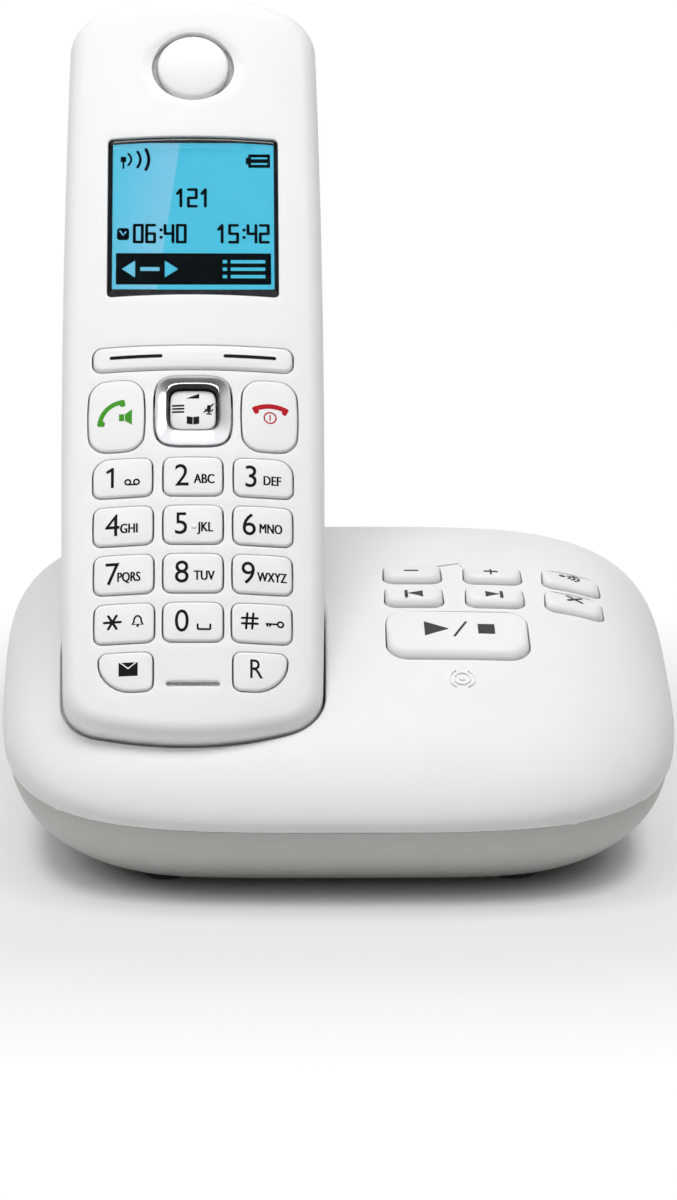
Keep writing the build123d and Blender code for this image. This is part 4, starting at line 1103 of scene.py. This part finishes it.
for digit in "0123456789":
    marks = [text(digit, digits_left.get(digit, digit_left), digit_foot, digit_height, 0.9)]
    if digit in key_letters:
        body, left = key_letters[digit]
        squeeze = 0.66 if digit in "679" else 0.72
        # laid twice, a little apart, which makes the letters bolder
        marks += [text(body, left + side * 0.075, -1.6, letter_height, squeeze) for side in (-1, 1)]
    elif digit == "1":
        marks = one_and_tape
    else:
        marks.append(space_bar)
    print_on(f"number_key_{digit}", marks)

grip = [arc(0, 108.0, radius, 62, 118, 0.7) for radius in (9.0, 10.8, 12.6)]


def on_cover(points, height):
    return spots(points, -handset_thickness - height)


lay("battery_cover_grip", grip, on_cover, "battery_cover", white, over=0.3, under=0.1)

x, u = key_middles["number_key_5"]
nub = Shape()
nub.solid([
    tops["number_key_5"](circle(x + 0.2, u - 0.65, radius, 20), rise)
    for radius, rise in ((0.48, -0.02), (0.45, 0.1), (0.36, 0.2), (0.2, 0.26))
])
nub.piece("number_key_5_nub", "number_key_5", key_white)

spokes = 1.5 * directions(np.array((0, pi / 3, 2 * pi / 3)))
star_middle = np.array((-2.15, 0.15))
bell = [(-1.0, -0.72), (-0.72, -0.35), (-0.62, 0.45), (-0.3, 0.9), (0.0, 1.0)]
bell += [(-a, b) for a, b in bell[-2::-1]]
print_on("star_key", [
    *[stroke([star_middle - spoke, star_middle + spoke], 0.46) for spoke in spokes],
    stroke(place(np.array(bell), 2.45, 0.25), 0.33, closed=True), disc(2.45, -0.72, 0.24),
])
print_on("hash_key", [
    *[stroke([(step - 2.32, -1.3), (step - 2.08, 1.75)], 0.42) for step in (-0.55, 0.55)],
    *[stroke([(-3.6, step), (-0.75, step)], 0.42) for step in (-0.3, 0.8)],
    loop_line(3.4, -0.2, 0.52, 0.34), stroke([(2.9, -0.2), (0.85, -0.2)], 0.34),
    *[stroke([(x, -0.2), (x, -0.6)], 0.34) for x in (1.0, 1.5)],
])
print_on("message_key", [
    fill([(-1.25, -0.98), (2.2, -0.98), (2.2, 1.7), (2.05, 1.7), (0.475, 0.35), (-1.1, 1.7), (-1.25, 1.7)]),
    fill([(-0.75, 1.7), (0.475, 0.68), (1.7, 1.7)]),
])
print_on("recall_key", [text("R", -1.85, -1.4, 3.7, 0.8)])
print_on("talk_key", [
    receiver(-0.8, 0.35, 3.4, 46, 1.35, 0.44, 0.55), slab(0.5, -1.25, 1.45, 0.15),
    fill([(1.6, -1.2), (2.9, -2.15), (2.9, 1.1), (1.6, 0.1)]),
], green_ink)
print_on("end_key", [
    receiver(0.15, 1.05, 3.3, 0, 0.85, 0.48, 0.6), loop_line(0.1, -0.5, 1.1, 0.26),
    stroke([(0.1, 0), (0.1, -1)], 0.25),
], red_ink)
wedge = fill([(-1.3, 2.4), (1.15, 2.4), (1.15, 3.4)])
book = [
    fill([(-1.15, -2.85), (-0.06, -3.0), (-0.06, -1.5), (-1.15, -1.35)]),
    fill([(0.06, -3.0), (1.15, -2.85), (1.15, -1.35), (0.06, -1.5)]),
]
crossed_microphone = [
    fill(place(rounded(0.72, 1.2, 0.35), 2.95, 0.45)), arc(2.95, 0.4, 0.72, 200, 340, 0.24, 10),
    stroke([(2.95, -0.3), (2.95, -0.75)], 0.24), stroke([(2.55, -0.8), (3.35, -0.8)], 0.24),
    stroke([(2.05, -0.45), (3.75, 1.3)], 0.26),
]
listing = [stroke([(-3.75, u), (-1.75, u)], 0.34) for u in (-0.4, 0.25, 0.9)]
print_on("nav_pad", [wedge, *book, *crossed_microphone, *listing])
print_on("soft_key_bar", [stroke([(side * 6.0, 0.1), (side * 15.2, 0.1)], 0.68) for side in (-1, 1)])

# marks of the base, from its middle and front
base_marks = {
    "volume_down_key": [stroke([(12.95, 59.1), (15.1, 59.1)], 0.66)],
    "volume_up_key": [stroke([(28.0, 59.2), (30.1, 59.2)], 0.66), stroke([(29.05, 57.8), (29.05, 60.6)], 0.36)],
    "announce_key": [
        disc(42.8, 61.5, 0.62), *[arc(42.95, 61.45, radius, -46, 46, 0.36) for radius in (1.35, 2.2, 3.05)],
    ],
    "previous_key": [
        stroke([(12.75, 48.55), (12.75, 51.55)], 0.6), fill([(13.1, 50.05), (15.85, 48.5), (15.85, 51.6)]),
    ],
    "next_key": [
        fill([(27.6, 48.75), (30.2, 50.2), (27.6, 51.65)]), stroke([(30.6, 48.75), (30.6, 51.65)], 0.6),
    ],
    "delete_key": [stroke([(43.3, low), (45.8, high)], 0.6) for low, high in ((51.2, 54.1), (54.1, 51.2))],
    "play_stop_key": [
        fill([(15.7, 36.15), (20.15, 38.8), (15.7, 41.45)]), stroke([(21.2, 36.1), (23.5, 41.5)], 0.4),
        slab(25.65, 37.2, 28.75, 40.75),
    ],
}


def on_base(at_top):
    return lambda points, height: at_top(points - (0, base_half_depth), height)


for name, marks in base_marks.items():
    lay(name + "_print", marks, on_base(tops[name]), name, pale_ink, over=0.1, under=0.05)

# raised in the shell: a ring between two arcs, and a wedge for the volume
relief_x, relief_y = 22.1, 25.2
relief = [loop_line(relief_x, relief_y, 1.45, 0.28), disc(relief_x, relief_y, 0.5)]
relief += [arc(relief_x, relief_y, 2.3, start, start + 120, 0.26) for start in (120, -60)]
relief.append(stroke([(18.8, 63.3), (23.3, 64.8), (23.75, 63.4)], 0.26))
on_dome = on_base(lambda plan, height: dome_point(dome_chart(plan)) + (0, 0, height))
lay("dome_relief", relief, on_dome, "base", shaded_base_white, over=0.3, under=0.1)

# ---------------------------------------------------------------- display
lcd, tree, shader = new_material("lcd_glass")
coordinates = add_node(tree, "TexCoord").outputs["Object"]
blot = add_node(tree, "TexNoise", Vector=coordinates, Scale=90).outputs["Fac"]
tint = ramp_between(tree, blot, (0.0, (0.045, 0.50, 0.73)), (1.0, (0.055, 0.54, 0.775)))
# painted reflection of a lamp on the window: the display's glow is paler in a corner on the left, ending at a
# slanted line
glare_slope, glare_width = 0.135, 0.013
glare_edge = (FOOT[0] - 4.5 - glare_slope * (UP @ FOOT + 109)) / 1000
slant = add_node(tree, "VectorMath")
slant.operation = "DOT_PRODUCT"
connect(tree, slant.inputs[0], coordinates)
connect(tree, slant.inputs[1], (1, *[-glare_slope * c for c in UP[1:]]))
fade = ranged(tree, slant.outputs["Value"], (glare_edge - glare_width, glare_edge))
painted_glare = ramp_between(tree, fade, (0.0, (0.1, 0.1, 0.1)), (0.99, (1, 1, 1)))
painted_glare.color_ramp.elements.new(0.995).color = (0, 0, 0, 1)
glare_mix = add_node(tree, "Mix")
glare_mix.data_type = "RGBA"
connect(tree, glare_mix.inputs["Factor"], painted_glare.outputs["Color"])
connect(tree, glare_mix.inputs[6], tint.outputs["Color"])
connect(tree, glare_mix.inputs[7], (0.2, 0.57, 0.79, 1))
feed(tree, shader, {
    "Base Color": (0.03, 0.12, 0.16, 1), "Roughness": 0.4, "Specular IOR Level": 0.1,
    "Emission Color": glare_mix.outputs[2], "Emission Strength": 1.0,
})

glass, tree, shader = new_material("window_plastic")
coordinates = add_node(tree, "TexCoord").outputs["Object"]
haze = add_node(tree, "TexNoise", Vector=coordinates, Scale=30).outputs["Fac"]
haze_roughness = ranged(tree, haze, target=(0.0, 0.05))
feed(tree, shader, {"Transmission Weight": 1.0, "IOR": 1.12, "Roughness": haze_roughness})

panel_w, panel_middle = -2.75, 108.8
panel = Shape()
outline = place(rounded(31.6, 32.8, 0.4, side_steps=4), 0, panel_middle)
panel.solid([spots(outline, w) for w in (-7.0, panel_w)])
panel.piece("display_panel", "handset", lcd, ["display_module"])

segment_paths = {
    "0": [[(0, 0), (0, 1), (1, 1), (1, 0), (0, 0)]],
    "1": [[(0.15, 0.75), (0.6, 1), (0.6, 0)]],
    "2": [[(0, 1), (1, 1), (1, 0.5), (0, 0.5), (0, 0), (1, 0)]],
    "4": [[(0, 1), (0, 0.5), (1, 0.5)], [(1, 1), (1, 0)]],
    "5": [[(1, 1), (0, 1), (0, 0.5), (1, 0.5), (1, 0), (0, 0)]],
    "6": [[(1, 1), (0, 1), (0, 0), (1, 0), (1, 0.5), (0, 0.5)]],
}
segment_width, segment_height, segment_pen, segment_pitch, colon_pitch = 1.5, 3.65, 0.58, 2.32, 1.15


def lcd_digits(body, left, low):
    """Digits of even strokes, as on a small display."""
    made = []
    for character in body:
        if character == ":":
            for y in (low + segment_height * 0.28, low + segment_height * 0.72):
                made.append(slab(left + 0.1, y - 0.3, left + 0.7, y + 0.3))
            left += colon_pitch
            continue
        for path in segment_paths[character]:
            corners = [(left + x * segment_width, low + y * segment_height) for x, y in path]
            made += [stroke(ends, segment_pen) for ends in zip(corners, corners[1:])]
        left += segment_pitch
    return made


def on_panel(points, height):
    return spots(points, panel_w + height)


marks = [slab(-13.75, 120.6, -12.7, 121.75), slab(-13.4, 119.1, -13.05, 120.7)]
for right, half, pen in ((-11.75, 1.25, 0.42), (-10.0, 1.7, 0.52), (-8.4, 2.2, 0.62)):
    marks.append(stroke([(right - 0.55 * t * t, 121.15 + half * t) for t in np.linspace(-1, 1, 9)], pen))
battery = [(10.5, 119.4), (14.65, 119.4), (14.65, 122.35), (10.5, 122.35)]
bars = [[(11.05, u + 0.4), (14.1, u + 0.4), (14.1, u + 0.8), (11.05, u + 0.8)] for u in (120.9, 119.65)]
marks += [fill(battery, bars), slab(10.05, 120.15, 10.5, 121.6)]
marks += lcd_digits("121", -3.2, 110.95)
marks.append(fill(place(rounded(2.3, 2.6, 0.6), -13.2, 104.85)))
marks += lcd_digits("06:40", -11.07, 103.15) + lcd_digits("15:42", 4.6, 103.15)
marks.append(fill(place(rounded(29.2, 6.75, 0.2), 0.1, 97.35)))
lay("display_segments", marks, on_panel, "handset", lcd_ink, over=0.03, under=0.01)
arrows = [
    fill([(-13.4, 97.3), (-10.9, 95.5), (-10.9, 99.1)]), slab(-9.9, 96.9, -6.3, 97.7),
    fill([(-2.8, 97.3), (-5.3, 99.1), (-5.3, 95.5)]),
]
for u in (95.7, 97.3, 98.9):
    arrows += [slab(5.6, u - 0.35, 6.4, u + 0.35), slab(7.1, u - 0.35, 13.6, u + 0.35)]
hands = stroke([(-13.75, 105.5), (-13.2, 104.6), (-12.7, 105.3)], 0.32)
lay("display_soft_marks", [*arrows, hands], on_panel, "handset", lcd, over=0.05, under=-0.035)

frame_outer = place(rounded(window_width - 0.2, window_height - 0.2, 0.8, side_steps=16), 0, window_u)
frame_inner = place(rounded(31.1, 32.9, 0.35, side_steps=16), 0, 107.75)
border_profile = ((frame_outer, -1.37), (frame_inner, -1.37), (frame_inner, -1.41), (frame_outer, -1.41))
border = Shape()
border.tube([arched(loop, w) for loop, w in border_profile])
border.piece("display_border", "handset", black_frame)
opening = place(rounded(30.5, 31.8, 0.2, side_steps=4), 0.05, panel_middle)
around = place(rounded(33.6, 37.0, 0.5, side_steps=4), 0, 108.6)
bezel = Shape()
bezel.tube([spots(loop, w) for loop, w in ((opening, -2.68), (around, -2.68), (around, -2.1), (opening, -2.6))])
bezel.piece("display_bezel", "handset", black_frame)

pane_top, pane_foot, pane_bevel = -0.15, -1.35, 0.15
outline = outlines["window"]
pane = Shape()
pane_profile = ((0, pane_foot), (0, -0.3), (0.04, -0.2), (pane_bevel, pane_top))  # inset, height
made = pane.loft([arched(offset(outline, -inset), w) for inset, w in pane_profile])
flat, triangles = sheet(offset(outline, -pane_bevel), [], 2.4)
for ring, w in ((made[-1], pane_top), (made[0], pane_foot)):
    middle = pane.ring(arched(flat[len(outline):], w))
    pane.triangles(np.concatenate([ring, middle]), triangles)
pane.piece("display_pane", "handset", glass, ["display_window"])
bpy.data.objects.remove(letters_object)


# ---------------------------------------------------------------- studio
def maths(tree, operation, a, b=0.0):
    node = add_node(tree, "Math")
    node.operation = operation
    for socket, value in zip(node.inputs, (a, b)):
        connect(tree, socket, value)
    return node.outputs[0]


def by_reach(tree, reach, stops):
    """A value that follows the distance from the base, given as shares of the base's outline."""
    furthest_stop = 4.0
    ramp = add_node(tree, "ValToRGB", Fac=maths(tree, "DIVIDE", reach, furthest_stop))
    points = ramp.color_ramp.elements
    for at, _ in stops[2:]:
        points.new(at / furthest_stop)
    for point, (at, value) in zip(points, stops):
        point.position, point.color = at / furthest_stop, (value, value, value, 1)
    return ramp.outputs["Color"]


def split(tree, space):
    coordinates = add_node(tree, "TexCoord").outputs[space]
    return add_node(tree, "SeparateXYZ", Vector=coordinates).outputs


def make_floor():
    """A pale floor that keeps the object's shadow near the base. To the camera and in reflections it glows with
    painted light that grows with the distance from the base, which paints the edge of that shadow, and it turns
    white further out.
    """
    bpy.ops.mesh.primitive_plane_add(size=8)
    floor = bpy.context.object
    floor.name = "floor"
    material, tree, shader = new_material("floor")
    feed(tree, shader, {"Base Color": (0.8, 0.8, 0.8, 1), "Specular IOR Level": 0.05, "Roughness": 0.12})
    rays = add_node(tree, "LightPath").outputs
    place_on_floor = split(tree, "Object")
    from_middle = maths(tree, "SUBTRACT", place_on_floor["Y"], base_y / 1000)
    across = maths(tree, "MULTIPLY", place_on_floor["X"], 1000 / base_half_width)
    along = maths(tree, "MULTIPLY", from_middle, 1000 / base_half_depth)
    fourths = []
    for share in (across, along):
        square = maths(tree, "MULTIPLY", share, share)
        fourths.append(maths(tree, "MULTIPLY", square, square))
    reach = maths(tree, "SQRT", maths(tree, "SQRT", maths(tree, "ADD", *fourths)))
    seen = maths(tree, "MAXIMUM", rays["Is Camera Ray"], rays["Is Glossy Ray"])
    seen = maths(tree, "MAXIMUM", seen, rays["Is Transmission Ray"])
    # painted light: the glow rises from grey near the base to white further out, painting where the shadow round
    # the base ends
    painted_floor_light = by_reach(tree, reach, [(0.9, 0.78), (1.3, 0.8), (1.75, 0.92), (2.3, 1.0)])
    painted_glow_stops = [(0.8, 0.0), (0.87, 0.15), (0.95, 0.7), (1.3, 0.72), (1.75, 0.85), (2.3, 1.0)]
    painted_glow = add_node(tree, "Emission", Color=painted_floor_light)
    mix = add_node(tree, "MixShader", Fac=maths(tree, "MULTIPLY", seen, by_reach(tree, reach, painted_glow_stops)))
    connect(tree, mix.inputs[1], shader.outputs[0])
    connect(tree, mix.inputs[2], painted_glow.outputs[0])
    connect(tree, tree.nodes["Material Output"].inputs["Surface"], mix.outputs[0])
    floor.data.materials.append(material)


def make_world():
    """White where it is seen. Reflections darken to the ceiling and the back. Soft light is mostly from above."""
    scene.world = bpy.data.worlds.new("studio")
    scene.world.use_nodes = True
    tree = scene.world.node_tree
    background = tree.nodes["Background"]
    background.inputs["Color"].default_value = (1, 1, 1, 1)
    rays = add_node(tree, "LightPath").outputs
    towards = split(tree, "Generated")
    to_ceiling = ranged(tree, towards["Z"], (0.4, 0.92), (1.0, 0.16), smooth=True)
    to_back = ranged(tree, towards["Y"], (-0.3, 0.5), (1.0, 0.55))
    from_above = ranged(tree, towards["Z"], (0.22, 0.85), (0.02, 0.42), smooth=True)
    seen = maths(tree, "MAXIMUM", rays["Is Camera Ray"], rays["Is Transmission Ray"])
    glossy = maths(tree, "MULTIPLY", rays["Is Glossy Ray"], maths(tree, "MULTIPLY", to_ceiling, to_back))
    others = maths(tree, "SUBTRACT", 1.0, maths(tree, "MAXIMUM", seen, rays["Is Glossy Ray"]))
    direct = maths(tree, "MAXIMUM", seen, glossy)
    strength = maths(tree, "ADD", direct, maths(tree, "MULTIPLY", others, from_above))
    connect(tree, background.inputs["Strength"], strength)


def lamp(name, at, aim, size, power, depth=None):
    data = bpy.data.lights.new(name, "AREA")
    data.shape, data.size, data.energy = "RECTANGLE" if depth else "DISK", size, power
    data.size_y = depth or size
    made = bpy.data.objects.new(name, data)
    scene.collection.objects.link(made)
    made.location = at
    made.rotation_euler = (Vector(aim) - Vector(at)).to_track_quat("-Z", "Y").to_euler()


make_floor()
make_world()
lamp("top_light", (0.0, -0.02, 1.3), (0, -0.02, 0), 1.1, 13.2, 0.45)
lamp("left_light", (-1.0, -0.2, 0.8), (0, 0, 0.05), 0.7, 2.3)
lamp("front_light", (-0.05, -1.25, 0.62), (0, 0, 0.05), 0.9, 1.1)

scene.view_settings.view_transform = "Standard"
